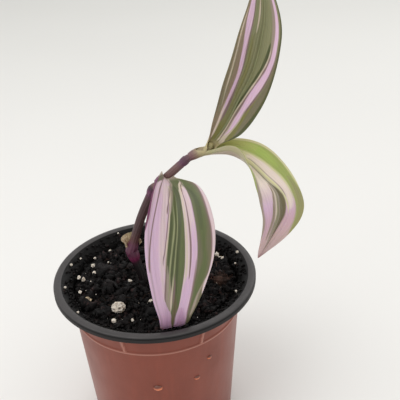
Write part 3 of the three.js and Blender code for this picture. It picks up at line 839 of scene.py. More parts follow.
def skin_material(settings):
    """The brown outer skin: satin, with the faint streaks and scuffs of drawn sheet, and a painted
    highlight on the ribs.
    """
    looks = {"Specular IOR Level": 0.5, "Sheen Weight": 0.12, "Sheen Roughness": 0.4}
    paint = Paint("pot outer skin", 0.42, looks)
    place = paint.objects()
    streaks = paint.noise(paint.stretched(place, (1, 1, 0.12)), 190, 4, 0.6)
    clouds = paint.noise(place, 45, 3)
    scuffs = paint.noise(paint.stretched(place, (1, 1, 3)), 420, 5, 0.7)
    dull = scaled(settings.outside, 0.84)
    bright = scaled(settings.outside, 1.18)
    colour = paint.mix(paint.span(clouds, 0.3, 0.7), settings.outside, dull)
    colour = paint.mix(paint.span(streaks, 0.45, 0.75, 0, 0.5), colour, bright)
    dusty = scaled(settings.outside, 0.8, 0.06)
    colour = paint.mix(paint.span(scuffs, 0.6, 0.8, 0, 0.25), colour, dusty)
    # Painted highlight: the ribs are painted paler, as if they caught the light.
    worn = paint.attribute("worn")
    colour = paint.mix(paint.math("MULTIPLY", worn, 0.5), colour, tone(196, 138, 120))
    rough = paint.span(clouds, 0.3, 0.75, 0.38, 0.52)
    normal = paint.bump(paint.noise(place, 1500, 3), 0.00004)
    normal = paint.bump(paint.noise(paint.stretched(place, (1, 1, 0.3)), 90, 2), 0.0004, normal)
    return paint.surface(colour, rough, normal)


def lining_material(settings, name, gloss):
    """The black inner skin and rim, with fine scratches round the rim, and painted shade: all but
    the rim's top near black, the lip's outer side darker.
    """
    paint = Paint(name, 0.45, {"Specular IOR Level": gloss})
    place = paint.objects()
    dust = paint.noise(place, 700, 5, 0.7)
    rings = paint.noise(paint.stretched(place, (1, 1, 9)), 160, 3)
    height = paint.node("ShaderNodeSeparateXYZ", {0: place}, 2)
    lip = paint.span(height, (POT_HEIGHT - 0.4) * MM, (POT_HEIGHT - 0.2) * MM)
    band = paint.span(height, (POT_HEIGHT - 0.9) * MM, (POT_HEIGHT - 1.3) * MM)
    flat = paint.stretched(place, (1, 1, 0))
    reach = paint.node("ShaderNodeVectorMath", {0: flat}, 1, operation="LENGTH")
    outer = paint.span(reach, (RIM_RADIUS - 1) * MM, (RIM_RADIUS - 0.5) * MM)
    # Painted shade: below the rim's top the black is painted near black, and the lip's outer side
    # darker, where less light falls.
    shade_below_top = scaled(settings.inside, 0.1)
    side = scaled(settings.inside, 0.55)
    colour = paint.mix(lip, shade_below_top, settings.inside)
    colour = paint.mix(paint.math("MULTIPLY", outer, band), colour, side)
    pale = paint.times(colour, (1.5, 1.5, 1.5))
    colour = paint.mix(paint.span(dust, 0.5, 0.75, 0, 0.6), colour, pale)
    worn = paint.times(colour, (0.72, 0.72, 0.72))
    colour = paint.mix(paint.span(rings, 0.4, 0.65, 0, 0.6), colour, worn)
    rough = paint.span(dust, 0.35, 0.7, 0.4, 0.6)
    normal = paint.bump(paint.noise(place, 1100, 3), 0.00005)
    return paint.surface(colour, rough, normal)


def cut_drains(bm_pot):
    """Opens the drain holes through the floor, with cutters that are removed again."""
    cutter = bmesh.new()
    for i in range(DRAIN_COUNT):
        spot = Matrix.Rotation(2 * pi * i / DRAIN_COUNT, 4, "Z") @ Matrix.Translation(
            (DRAIN_CIRCLE * MM, 0, 0)
        )
        bmesh.ops.create_cone(
            cutter,
            cap_ends=True,
            segments=DRAIN_SIDES,
            radius1=DRAIN_RADIUS * MM,
            radius2=DRAIN_RADIUS * MM,
            depth=4 * FLOOR * MM,
            matrix=spot,
        )
    mesh = bpy.data.meshes.new("drain_cutter")
    cutter.to_mesh(mesh)
    cutter.free()
    tool = bpy.data.objects.new("drain_cutter", mesh)
    bpy.context.scene.collection.objects.link(tool)
    cut = bm_pot.modifiers.new("drains", "BOOLEAN")
    cut.object = tool
    cut.operation = "DIFFERENCE"
    cut.solver = "EXACT"
    return tool


def bake_modifiers(piece, tool):
    """Makes the piece's modified mesh its own, and removes the tool that cut it."""
    graph = bpy.context.evaluated_depsgraph_get()
    mesh = bpy.data.meshes.new_from_object(piece.evaluated_get(graph))
    old = piece.data
    piece.modifiers.clear()
    piece.data = mesh
    mesh.name = piece.name
    bpy.data.meshes.remove(old)
    bpy.data.meshes.remove(tool.data)


POT_STEPS = 480  # steps of the sheet round its axis
UNDER_RIM = POT_HEIGHT - FUNNEL_DEPTH - 0.5  # the brown skin ends here


class TRADESCANTIA_OT_pot(bpy.types.Operator):
    """Makes the nursery pot: a thin drawn sheet, brown outside and black inside."""

    bl_idname = "tradescantia.pot"
    bl_label = "Pot"

    def execute(self, context):
        settings = context.scene.tradescantia_pot
        bm = self.spun_sheet()
        self.press_relief(bm, settings)
        self.part_skins(bm)
        skins = [
            skin_material(settings),
            lining_material(settings, "pot black skin", 0.12),
            lining_material(settings, "pot black lip", 0.4),
        ]
        piece = finished("pot_shell", bm, skins, ["pot"])
        bake_modifiers(piece, cut_drains(piece))
        piece.data.shade_smooth()
        rounding = piece.modifiers.new("edge", "BEVEL")
        rounding.width = settings.edge
        rounding.segments = 2
        rounding.limit_method = "ANGLE"
        rounding.angle_limit = radians(50)
        return {"FINISHED"}

    def spun_sheet(self):
        """The plain sheet: the section turned once round the pot's axis."""
        bm = bmesh.new()
        rail = [bm.verts.new((radius, 0, z)) for radius, z in pot_profile()]
        edges = [bm.edges.new(pair) for pair in zip(rail, rail[1:])]
        bmesh.ops.spin(
            bm,
            geom=rail + edges,
            cent=(0, 0, 0),
            axis=(0, 0, 1),
            angle=2 * pi,
            steps=POT_STEPS,
            use_merge=True,
        )
        tidy_normals(bm)
        return bm

    def press_relief(self, bm, settings):
        """Presses the ledge, the collar and the ribs into the wall, and marks the ribs for their
        painted highlight.
        """
        worn = bm.verts.layers.float.new("worn")
        for vertex in bm.verts:
            x, y, z = vertex.co
            radius = sqrt(x * x + y * y)
            inner = radius < wall_radius(z) - WALL / 3
            if inner or not 1 < z < UNDER_RIM - 0.1:
                continue
            relief = wall_relief(degrees(atan2(y, x)), z, settings)
            vertex.co = (x * (1 + relief / radius), y * (1 + relief / radius), z)
            # How much of the ribs' painted highlight each point takes.
            vertex[worn] = smooth(0.02, settings.rib / MM, relief)

    def part_skins(self, bm):
        """Gives each face its material: brown outside, black inside, and the black lip."""
        for face in bm.faces:
            centre = face.calc_center_median()
            radius = sqrt(centre.x**2 + centre.y**2)
            outer = radius > wall_radius(centre.z) - 0.6 or centre.z < 0.5
            black = 2 if centre.z > POT_HEIGHT - LIP_EDGE else 1
            face.material_index = 0 if outer and centre.z < UNDER_RIM else black


# Drops of water on the wall: angle round the pot in degrees, height and half width.
DROPS = ((-94.4, 43.1, 2.0), (-66.3, 44.0, 1.4), (-56.2, 52.6, 1.2))


class TRADESCANTIA_OT_drops(bpy.types.Operator):
    """Puts the small drops of water on the pot's wall: opaque, with the light through them and
    their shade painted on.
    """

    bl_idname = "tradescantia.drops"
    bl_label = "Water drops"

    def execute(self, context):
        bm = bmesh.new()
        height = bm.verts.layers.float.new("height")
        for angle, z, half in DROPS:
            drop = bmesh.ops.create_icosphere(bm, subdivisions=4, radius=half)["verts"]
            for vertex in drop:
                x, y, up = vertex.co
                vertex[height] = 0.5 + 0.5 * up / half
                sag = 0.68 if up > 0 else 0.8  # fuller below its middle
                vertex.co = (0.5 * x, y, up * sag - 0.1 * x)
            turn = Matrix.Rotation(radians(angle), 4, "Z")
            lean = Matrix.Rotation(TAPER, 4, "Y")
            place = Matrix.Translation((wall_radius(z) + 0.02, 0, z))
            bmesh.ops.transform(bm, matrix=turn @ place @ lean, verts=drop)
        bmesh.ops.recalc_face_normals(bm, faces=bm.faces)
        paint = Paint("water", 0.04, {"Specular IOR Level": 0.6})
        share = paint.attribute("height")
        cloud = paint.noise(paint.objects(), 300, 2)
        share = paint.math("ADD", share, paint.span(cloud, 0.3, 0.7, -0.05, 0.05))
        # Painted light: the opaque drop is painted bright orange low down, where light through a
        # drop would gather, and dark at its top as its shade.
        tint = paint.ramp(share, [
            (0, tone(170, 92, 62)),
            (0.2, tone(226, 132, 88)),
            (0.5, tone(196, 104, 66)),
            (0.7, tone(112, 60, 46)),
            (1, tone(98, 54, 42)),
        ])
        finished("water_drops", bm, [paint.surface(tint)], [])
        return {"FINISHED"}


# ---- soil ------------------------------------------------------------------------------------


def relief(x, y):
    """The lumpy surface of the peat, as a height above its mean level."""
    broad = 0.7 * sin(0.21 * x + 1.3) * cos(0.17 * y - 0.4)
    clumps = 0.55 * sin(0.62 * x - 0.35 * y) * sin(0.55 * y + 0.2 * x + 2)
    crumbs = 0.3 * sin(1.5 * x + 0.6 * y) * cos(1.3 * y - 0.5 * x)
    return broad + clumps + crumbs


def surface_height(x, y):
    """Height of the peat's lumpy surface above the pot's foot."""
    return SOIL_LEVEL + relief(x, y)


# Lumps of peat: centre, and half sizes.
CLODS = (
    (-22.8, 10.8, (4.2, 3.6, 1.7)),
    (-20.2, -2.1, (3.4, 3, 1.9)),
    (-11, 11.4, (1.8, 1.7, 1.3)),
    (-25.5, -4.5, (1.9, 1.6, 1)),
    (-16.1, -30.1, (3, 1.8, 1.2)),
    (12, 24, (3.2, 2.6, 1.8)),
    (19, 18, (3, 2.4, 1.7)),
)
COIR_CLOD = (29, -4.2, (4.4, 3.4, 2.4))
COIR_THREADS = 90
# White grains that stand out: centre, and radius.
GRAINS = (
    (-18.5, -27.2, 1.2), (-2.8, -15.1, 0.9), (-8.5, -16.4, 0.7), (-10.9, -27.6, 0.7),
    (-11.5, 0.5, 0.8), (29.8, 15.5, 1.1), (32, 11.5, 1), (-34.4, 6.2, 0.9),
    (-32.2, 3.1, 0.9), (-27.5, 8.5, 0.9), (-28.3, 15.2, 0.9), (-27.6, 20.8, 0.7),
    (-33.4, -5.6, 0.7), (-20.6, 26.8, 0.7),
)
FUNNEL_CRUMBS = 420  # crumbs that lie on the slope of the rim
BED_CELLS = 230
FIBRE_SIDES = 5
FIBRE_STEPS = 6
# How finely the ball of a lump is divided, by how close the eye comes to it.
SMALL_LUMP = 2
SLOPE_LUMP = 3
LARGE_LUMP = 4
# Grains that lie on the slope of the rim: angle in degrees, share of the way up, radius.
SLOPE_GRAINS = (
    (186, 0.7, 0.55), (161, 0.75, 0.6), (151, 0.5, 0.5), (114, 0.8, 0.45), (16, 0.8, 0.6),
    (334, 0.3, 0.6), (8, 0.2, 0.5), (215, 0.8, 0.5),
)
PERLITE_LUMP = (-16.5, -21.1, 2.6)
# Pits of that lump: direction, width and depth, the last two as shares of its radius.
LUMP_PITS = (
    ((0.1, -0.8, -0.45), 0.42, 0.4), ((0.75, -0.6, -0.2), 0.3, 0.26),
    ((-0.65, -0.7, 0.1), 0.26, 0.26), ((0.2, -0.75, 0.35), 0.24, 0.24),
    ((-0.2, -0.3, 0.9), 0.26, 0.22), ((0.6, 0, 0.75), 0.24, 0.2),
    ((-0.8, 0, 0.5), 0.26, 0.15), ((0, 0.8, 0.5), 0.3, 0.18),
    ((0.85, 0.4, 0.1), 0.26, 0.15), ((-0.7, 0.6, -0.2), 0.3, 0.16),
)
BARK_CHIP = (-30.8, -11.8, (2.1, 1.3, 0.7))
# The seeds of what is drawn at random.
CRUMB_SEED = 11
FIBRE_SEED = 23
COIR_SEED = 5
PERLITE_SEED = 31


def rough_height(x, y):
    """The peat's surface with its crumbs, as the eye sees it close up."""
    place = Vector((x, y, 0))
    coarse = noise.fractal(place * 0.4, 1, 2.1, 5, noise_basis="PERLIN_NEW")
    crumbs = noise.noise(place * 1.3 + Vector((9, 4, 2))) * 0.5
    pits = noise.turbulence(place * 0.7, 3, False, noise_basis="PERLIN_NEW")
    return surface_height(x, y) + 1.1 * coarse + crumbs - 1.3 * pits + 0.1


def on_disc(u, v, radius):
    """A point of a square grid, drawn in to a disc of that radius."""
    x, y = 2 * u - 1, 2 * v - 1
    return radius * x * sqrt(1 - y * y / 2), radius * y * sqrt(1 - x * x / 2)


def peat_material(name, colour, light, bump=0.0006):
    """Moist peat: almost black, with grey glints on its crumbs and some brown bits."""
    paint = Paint(name, 0.7, {"Specular IOR Level": 0.15})
    place = paint.objects()
    crumbs = paint.noise(place, 420, 6, 0.65)
    patches = paint.noise(place, 150, 3)
    bits = paint.noise(place, 260, 2)
    pale = scaled(colour, light, 0.005)
    dark = scaled(colour, 0.35)
    brown = tinted(pale, (1.7, 1.15, 1.1))
    shade = paint.mix(paint.span(patches, 0.4, 0.6), colour, dark)
    shade = paint.mix(paint.span(crumbs, 0.52, 0.7), shade, pale)
    shade = paint.mix(paint.span(bits, 0.6, 0.7, 0, 0.85), shade, brown)
    rough = paint.span(crumbs, 0.35, 0.65, 0.42, 0.9)
    return paint.surface(shade, rough, paint.bump(crumbs, bump))


def perlite_material(name, colour, dirty=0.55):
    """Expanded glass: chalky, pitted, a little dirty, and with painted shade in its hollows."""
    paint = Paint(name, 0.85, scattering(0.15, (1, 0.9, 0.7)))
    place = paint.objects()
    pits = paint.cells(place, 1500)
    dirt = paint.noise(place, 420, 4, 0.6)
    brown = tone(150, 124, 96)
    shade = paint.mix(paint.span(dirt, 0.5, 0.72, 0, dirty), colour, brown)
    shade = paint.mix(paint.span(pits, 0.05, 0.35, 0.45, 0), shade, tone(120, 104, 88))
    # Painted shade: the open pits of the lump are painted dark brown.
    pit = paint.attribute("pit")
    hollow = paint.math("MULTIPLY", pit, paint.span(dirt, 0.35, 0.6, 0.3, 1))
    shade = paint.mix(hollow, shade, tone(78, 62, 50))
    return paint.surface(shade, None, paint.bump(pits, 0.0004))


def gather(heap, bm):
    """Adds one small shape to a heap of many."""
    bmesh.ops.recalc_face_normals(bm, faces=bm.faces)
    mesh = bpy.data.meshes.new("shape")
    bm.to_mesh(mesh)
    bm.free()
    heap.from_mesh(mesh)
    bpy.data.meshes.remove(mesh)


def lump(heap, draw, centre, radii, level, roughness):
    """Adds one irregular lump of a few dozen faces or more, turned at random."""
    bm = bmesh.new()
    bmesh.ops.create_icosphere(bm, subdivisions=level, radius=1)
    shift = Vector([draw.uniform(-50, 50) for _ in range(3)])
    for vertex in bm.verts:
        bulge = noise.noise(vertex.co * 1.3 + shift) + 0.5 * noise.noise(vertex.co * 3 + shift)
        vertex.co *= 1 + roughness * bulge
    turn = Matrix.Rotation(draw.uniform(0, 2 * pi), 4, (draw.uniform(-0.4, 0.4), 0.2, 1))
    size = Matrix.Diagonal((*radii, 1))
    bmesh.ops.transform(bm, matrix=Matrix.Translation(centre) @ turn @ size, verts=bm.verts)
    gather(heap, bm)


def random_spot(draw, reach):
    """A place drawn evenly from a disc."""
    angle = draw.uniform(0, 2 * pi)
    radius = reach * sqrt(draw.random())
    return radius * cos(angle), radius * sin(angle)


def fibre(heap, draw, x, y, z, length, thick):
    """Adds a bent thread: a small ring carried along a curve."""
    bm = bmesh.new()
    heading = draw.uniform(0, 2 * pi)
    rise = draw.uniform(-0.1, 0.45)
    bend = draw.uniform(-1.2, 1.2)
    ring = bmesh.ops.create_circle(
        bm, cap_ends=False, segments=FIBRE_SIDES, radius=thick
    )["verts"]
    forward = Vector((cos(heading), sin(heading), rise)).normalized()
    turn = forward.to_track_quat("Z", "Y").to_matrix().to_4x4()
    bmesh.ops.transform(bm, matrix=Matrix.Translation((x, y, z)) @ turn, verts=ring)
    edges = bm.edges[:]
    for step in range(FIBRE_STEPS):
        made = bmesh.ops.extrude_edge_only(bm, edges=edges)["geom"]
        ring = [item for item in made if isinstance(item, bmesh.types.BMVert)]
        edges = [item for item in made if isinstance(item, bmesh.types.BMEdge)]
        angle = heading + bend * (step + 1) / FIBRE_STEPS
        ahead = Vector((cos(angle), sin(angle), rise * (1 - 2 * step / FIBRE_STEPS)))
        bmesh.ops.translate(bm, vec=ahead * length / FIBRE_STEPS, verts=ring)
    bmesh.ops.holes_fill(bm, edges=bm.edges, sides=FIBRE_SIDES)
    gather(heap, bm)


class TRADESCANTIA_OT_soil(bpy.types.Operator):
    """Fills the pot with peat: the lumpy bed, its clods, crumbs and fibres."""

    bl_idname = "tradescantia.soil"
    bl_label = "Soil"

    def execute(self, context):
        settings = context.scene.tradescantia_soil
        draw = random.Random(CRUMB_SEED)
        self.bed(settings)
        self.crumbs(settings, draw)
        self.clods(settings, draw)
        self.threads(settings)
        return {"FINISHED"}

    def bed(self, settings):
        """One body of peat: its rough top, sunk at the wall, and its sides down to the floor."""

        def point(u, v):
            x, y = on_disc(u, v, BED_RADIUS)
            edge = smooth(SOIL_RADIUS - 3.5, BED_RADIUS, sqrt(x * x + y * y))
            return x, y, rough_height(x, y) - 1.6 * edge

        bm = grid(BED_CELLS, BED_CELLS, point)
        rim = [edge for edge in bm.edges if edge.is_boundary]
        made = bmesh.ops.extrude_edge_only(bm, edges=rim)["geom"]
        foot = [item for item in made if isinstance(item, bmesh.types.BMVert)]
        floor = FLOOR + SOIL_GAP
        share = (wall_radius(floor) - WALL - 1.6) / BED_RADIUS
        for vertex in foot:
            vertex.co = (vertex.co.x * share, vertex.co.y * share, floor)
        bottom = [item for item in made if isinstance(item, bmesh.types.BMEdge)]
        bmesh.ops.holes_fill(bm, edges=bottom, sides=0)
        bmesh.ops.recalc_face_normals(bm, faces=bm.faces)
        material = peat_material("peat", settings.peat, 2.6)
        finished("soil_bed", bm, [material], ["soil"])

    def crumbs(self, settings, draw):
        """Loose crumbs: the bigger ones, those on the rim's slope, and the small ones."""
        bm = bmesh.new()
        for _ in range(settings.clods):
            x, y = random_spot(draw, SOIL_RADIUS - 2.4)
            size = 0.9 + 1.9 * draw.random() ** 3
            radii = [size * draw.uniform(0.6, 1.4) for _ in range(3)]
            place = (x, y, rough_height(x, y) + 0.15 * size)
            lump(bm, draw, place, radii, SMALL_LUMP, 0.9)
        for _ in range(FUNNEL_CRUMBS):
            angle = draw.uniform(0, 2 * pi)
            up = FUNNEL_DEPTH * draw.random() ** 1.3 * 0.8
            radius = SOIL_RADIUS + up * (RIM_INNER_RADIUS - SOIL_RADIUS) / FUNNEL_DEPTH - 0.2
            place = (radius * cos(angle), radius * sin(angle), POT_HEIGHT - FUNNEL_DEPTH + up)
            radii = [draw.uniform(0.25, 0.8) for _ in range(3)]
            lump(bm, draw, place, radii, SMALL_LUMP, 0.5)
        for _ in range(settings.crumbs):
            x, y = random_spot(draw, SOIL_RADIUS - 1.6)
            size = 0.3 + 1.3 * draw.random() ** 4
            place = (x, y, rough_height(x, y) + 0.35 * size)
            radii = [size * draw.uniform(0.5, 1.4) for _ in range(3)]
            lump(bm, draw, place, radii, SMALL_LUMP, 0.9)
        material = peat_material("peat crumbs", settings.peat, 3.4)
        finished("soil_crumbs", bm, [material], ["soil"])

    def clods(self, settings, draw):
        """The few big clods that stand out of the bed, each in its own place."""
        bm = bmesh.new()
        for x, y, radii in CLODS:
            lump(bm, draw, (x, y, surface_height(x, y) + 1.1), radii, LARGE_LUMP, 0.5)
        material = peat_material("peat clods", scaled(settings.peat, 3), 2.4)
        finished("soil_clods", bm, [material], ["soil"])

    def threads(self, settings):
        """Thin fibres that lie over the crumbs."""
        draw = random.Random(FIBRE_SEED)
        bm = bmesh.new()
        for _ in range(settings.fibres):
            x, y = random_spot(draw, SOIL_RADIUS - 5)
            length = draw.uniform(2, 6)
            fibre(bm, draw, x, y, rough_height(x, y) + 0.3, length, draw.uniform(0.05, 0.1))
        material = peat_material("peat fibres", tone(70, 52, 40), 2.2, 0.0001)
        finished("soil_fibres", bm, [material], ["soil"])


class TRADESCANTIA_OT_coir(bpy.types.Operator):
    """Makes the reddish clod that is a tangle of coir threads."""

    bl_idname = "tradescantia.coir"
    bl_label = "Coir clod"

    def execute(self, context):
        settings = context.scene.tradescantia_soil
        draw = random.Random(COIR_SEED)
        x, y, radii = COIR_CLOD
        bm = bmesh.new()
        core = [0.9 * half for half in radii]
        lump(bm, draw, (x, y, surface_height(x, y)), core, LARGE_LUMP, 0.4)
        for _ in range(COIR_THREADS):
            angle = draw.uniform(0, 2 * pi)
            share = sqrt(draw.random())
            dx, dy = radii[0] * share * cos(angle), radii[1] * share * sin(angle)
            lift = radii[2] * sqrt(max(0, 1 - share * share)) * 0.9
            start = surface_height(x + dx, y + dy) + lift
            fibre(bm, draw, x + dx, y + dy, start, draw.uniform(1, 3), draw.uniform(0.06, 0.12))
        material = peat_material("coir", settings.coir, 1.7, 0.0003)
        finished("coir_clod", bm, [material], ["soil"])
        return {"FINISHED"}


class TRADESCANTIA_OT_perlite(bpy.types.Operator):
    """Places the white grains and the one big pitted lump."""

    bl_idname = "tradescantia.perlite"
    bl_label = "Perlite"

    def execute(self, context):
        settings = context.scene.tradescantia_soil
        draw = random.Random(PERLITE_SEED)
        bm = bmesh.new()
        for x, y, radius in GRAINS:
            radii = [radius * draw.uniform(0.8, 1.15) for _ in range(3)]
            place = (x, y, rough_height(x, y) + 1.15 * radius)
            lump(bm, draw, place, radii, LARGE_LUMP, 0.4)
        for angle, share, radius in SLOPE_GRAINS:
            reach = SOIL_RADIUS + share * (RIM_INNER_RADIUS - SOIL_RADIUS) - 0.3
            angle = radians(angle)
            height = POT_HEIGHT - FUNNEL_DEPTH * (1 - share) + 0.3 * radius
            place = (reach * cos(angle), reach * sin(angle), height)
            lump(bm, draw, place, [radius] * 3, SLOPE_LUMP, 0.4)
        for _ in range(settings.grains):
            x, y = random_spot(draw, SOIL_RADIUS - 3)
            radius = 0.14 + 0.4 * draw.random() ** 2.5
            radii = [radius * draw.uniform(0.7, 1.2) for _ in range(3)]
            place = (x, y, rough_height(x, y) + 0.6 * radius)
            lump(bm, draw, place, radii, SMALL_LUMP, 0.45)
        material = perlite_material("perlite grains", settings.perlite)
        finished("perlite_grains", bm, [material], ["soil"])
        self.big_lump(settings)
        return {"FINISHED"}

    def big_lump(self, settings):
        """A popped grain: a knobbly ball with open pits, the deepest of them low at its front."""
        x, y, radius = PERLITE_LUMP
        bm = bmesh.new()
        bmesh.ops.create_icosphere(bm, subdivisions=6, radius=1)
        # pit holds how far each point lies in a pit, for the painted shade there.
        pit = bm.verts.layers.float.new("pit")
        for vertex in bm.verts:
            spot = vertex.co.normalized()
            size = 1 + 0.13 * noise.noise(spot * 2.2) + 0.07 * noise.noise(spot * 5)
            size += 0.035 * noise.noise(spot * 14)
            for direction, width, depth in LUMP_PITS:
                apart = (spot - Vector(direction).normalized()).length
                sunk = exp(-((apart / width) ** 4))
                size -= depth * sunk
                vertex[pit] = max(vertex[pit], sunk * min(1, 3.2 * depth))
                size += 0.25 * depth * exp(-(((apart - 1.3 * width) / (0.4 * width)) ** 2))
            vertex.co = spot * size
        size = Matrix.Diagonal((1.08 * radius, 0.95 * radius, 0.85 * radius, 1))
        place = Matrix.Translation((x, y, surface_height(x, y) + 2.5))
        bmesh.ops.transform(bm, matrix=place @ size, verts=bm.verts)
        bmesh.ops.recalc_face_normals(bm, faces=bm.faces)
        dusty = scaled(settings.perlite, 0.86)
        material = perlite_material("perlite lump", dusty, 0.85)
        finished("perlite_popped", bm, [material], ["perlite_lump"])


class TRADESCANTIA_OT_bark(bpy.types.Operator):
    """Makes the tan chip that lies on the peat, with its layered edge."""

    bl_idname = "tradescantia.bark"
    bl_label = "Bark chip"

    def execute(self, context):
        settings = context.scene.tradescantia_soil
        x, y, radii = BARK_CHIP
        bm = bmesh.new()
        bmesh.ops.create_icosphere(bm, subdivisions=5, radius=1)
        for vertex in bm.verts:
            spot = vertex.co.normalized()
            layers = 0.06 * sin(22 * spot.z) * (1 - abs(spot.z))
            ragged = 0.26 * noise.noise(spot * 2.4) + 0.2 * noise.noise(spot * 6)
            squared = (abs(spot.x) ** 4 + abs(spot.y) ** 4 + abs(spot.z) ** 4) ** -0.25
            vertex.co = spot * squared * (1.1 + layers + ragged)
        size = Matrix.Diagonal((*radii, 1))
        tilt = Matrix.Rotation(0.3, 4, "X") @ Matrix.Rotation(-0.25, 4, "Y")
        place = Matrix.Translation((x, y, surface_height(x, y) + 1.7))
        turn = Matrix.Rotation(0.5, 4, "Z")
        bmesh.ops.transform(bm, matrix=place @ turn @ tilt @ size, verts=bm.verts)
        bmesh.ops.recalc_face_normals(bm, faces=bm.faces)
        paint = Paint("bark", 0.75, {})
        spots = paint.objects()
        layers = paint.noise(paint.stretched(spots, (1, 1, 7)), 260, 4, 0.6)
        pale = scaled(settings.bark, 1.6)
        dark = scaled(settings.bark, 0.3)
        colour = paint.mix(paint.span(layers, 0.35, 0.65), dark, pale)
        material = paint.surface(colour, None, paint.bump(layers, 0.0003))
        finished("bark_flake", bm, [material], ["bark_chip"])
        return {"FINISHED"}


# ---- stem ------------------------------------------------------------------------------------


# Each stretch: the points it runs through, and its radius at its foot and top.
STRETCHES = (
    ((STEM_FOOT, SOIL_ENTRY, JOINT_1), 2.1, 2.05),
    ((JOINT_1, STEM_BEND, JOINT_2), 1.98, 1.9),
    ((JOINT_2, UPPER_BEND, JOINT_3), 1.78, 1.7),
    ((JOINT_3, SHEATH_FOOT, FORK, *SHOOT_TOP), 1.5, 0.6),
)
# Each swelling: its middle, how much radius it adds, and its half length.
SWELLINGS = (
    (SWELLING_1, 0.7, 3.9),
    (JOINT_2, 0.4, 2.2),
    (JOINT_3, 0.2, 2.2),
    (SHEATH_MOUTH, 0.75, 2.4),
    (SHOOT_BUD, 0.45, 2.2),
)
RING_DEPTH = 0.08  # the pinch just under a swelling
STEM_ROWS = 90  # for each stretch
STEM_COLUMNS = 88
STEM_RIDGES = 11


def stem_line():
    """Points down the middle of the stem and their radii, as many for each stretch."""
    points, radii = [], []
    for stations, start, end in STRETCHES:
        first = 1 if points else 0
        for step in range(first, STEM_ROWS + 1):
            share = step / STEM_ROWS
            points.append(along_points(stations, share * (len(stations) - 1)))
            radii.append(start + (end - start) * share)
    for joint, extra, half in SWELLINGS:
        for i, point in enumerate(points):
            off = point - Vector(joint)
            below = off.z < 0
            radii[i] += extra * exp(-((off.length / half) ** 4))
            radii[i] -= RING_DEPTH * exp(-(((off.length - 1.1 * half) / 0.4) ** 2)) * below
    return points, radii


def tube_grid(points, radius_at, columns):
    """A closed tube along points, with U round it and V along it. radius_at(u, row)."""
    rows = len(points) - 1
    side_axis = Vector((0, 1, 0))

    def point(u, v):
        row = round(v * rows)
        before, after = points[max(row - 1, 0)], points[min(row + 1, rows)]
        forward = (after - before).normalized()
        side = (side_axis - forward * forward.dot(side_axis)).normalized()
        up = forward.cross(side)
        angle = 2 * pi * u
        return points[row] + (side * cos(angle) + up * sin(angle)) * radius_at(u, row)

    bm = grid(columns, rows, point)
    open_edges = [edge for edge in bm.edges if edge.is_boundary]
    caps = bmesh.ops.holes_fill(bm, edges=open_edges, sides=0)["faces"]
    bmesh.ops.poke(bm, faces=caps)
    bmesh.ops.recalc_face_normals(bm, faces=bm.faces)
    return bm


def stem_material(settings):
    """Painted shadow, near black, below; then maroon and brown, with magenta at each joint and a
    dark ring at the first two: painted shade under the lowest one's swelling, the second joint's
    own dark line.

    V runs from 0 at the stem's foot to 1 at the top of the shoot, a quarter for each stretch.
    """
    paint = Paint("stem", 0.42, scattering(0.08, (1.2, 0.4, 0.4)))
    u, v = paint.uv()
    place = paint.objects()
    flat = paint.laid_flat(u, v)
    lines = paint.noise(paint.stretched(flat, (26, 3, 1)), 2.2, 4, 0.6)
    # shadow is painted shadow on the lower stem; ring is painted shade under the lowest joint's
    # swelling and, at the second joint, its own dark line.
    shadow, ring = tone(14, 6, 9), tone(44, 12, 28)
    colour = paint.ramp(v, [
        (0, shadow),
        (0.206, shadow),
        (0.215, ring),
        (0.224, tone(112, 36, 74)),
        (0.24, settings.joint),
        (0.276, settings.joint),
        (0.292, tone(84, 48, 48)),
        (0.33, settings.maroon),
        (0.455, settings.maroon),
        (0.49, tone(96, 40, 78)),
        (0.505, ring),
        (0.52, settings.brown),
        (0.69, settings.brown),
        (0.725, tone(92, 54, 78)),
        (0.75, tone(80, 46, 62)),
        (0.79, tone(98, 68, 72)),
        (0.84, tone(140, 124, 96)),
        (1, tone(160, 150, 104)),
    ])
    pale = paint.times(colour, (1.5, 1.45, 1.4))
    colour = paint.mix(paint.span(lines, 0.5, 0.75, 0, 0.55), colour, pale)
    speckle = paint.noise(place, 1300, 3)
    dull = paint.times(colour, (0.7, 0.68, 0.68))
    colour = paint.mix(paint.span(speckle, 0.5, 0.7, 0, 0.5), colour, dull)
    rough = paint.span(lines, 0.3, 0.7, 0.36, 0.5)
    return paint.surface(colour, rough, paint.bump(lines, 0.00018))


class TRADESCANTIA_OT_stem(bpy.types.Operator):
    """Grows the jointed stem from the peat to the top of the shoot."""

    bl_idname = "tradescantia.stem"
    bl_label = "Stem"

    def execute(self, context):
        settings = context.scene.tradescantia_stem
        points, radii = stem_line()
        ridge = settings.ridge / MM

        def radius_at(u, row):
            ridges = ridge * sin(2 * pi * STEM_RIDGES * u + 3 * sin(9 * row / len(points)))
            return radii[row] * (1 + 0.03 * cos(4 * pi * u)) + ridges

        bm = tube_grid(points, radius_at, STEM_COLUMNS)
        finished("stem_jointed", bm, [stem_material(settings)], ["stem"])
        return {"FINISHED"}


def dry_material(settings):
    """Papery and veined, with green stains and a darker foot."""
    paint = Paint("dry leaf", 0.7, scattering(0.25, (2, 1.5, 1)))
    u, v = paint.uv()
    flat = paint.laid_flat(u, v)
    veins = paint.noise(paint.stretched(flat, (22, 1.5, 1)), 2, 3, 0.6)
    stains = paint.noise(paint.objects(), 300, 3)
    brown = tinted(settings.dry, (0.5, 0.4, 0.33))
    colour = paint.mix(paint.span(veins, 0.42, 0.66), settings.dry, brown)
    colour = paint.mix(paint.span(stains, 0.45, 0.7, 0, 0.6), colour, tone(128, 120, 78))
    colour = paint.mix(paint.span(v, 0, 0.45), tone(108, 78, 70), colour)
    return paint.surface(colour, None, paint.bump(veins, 0.0003))


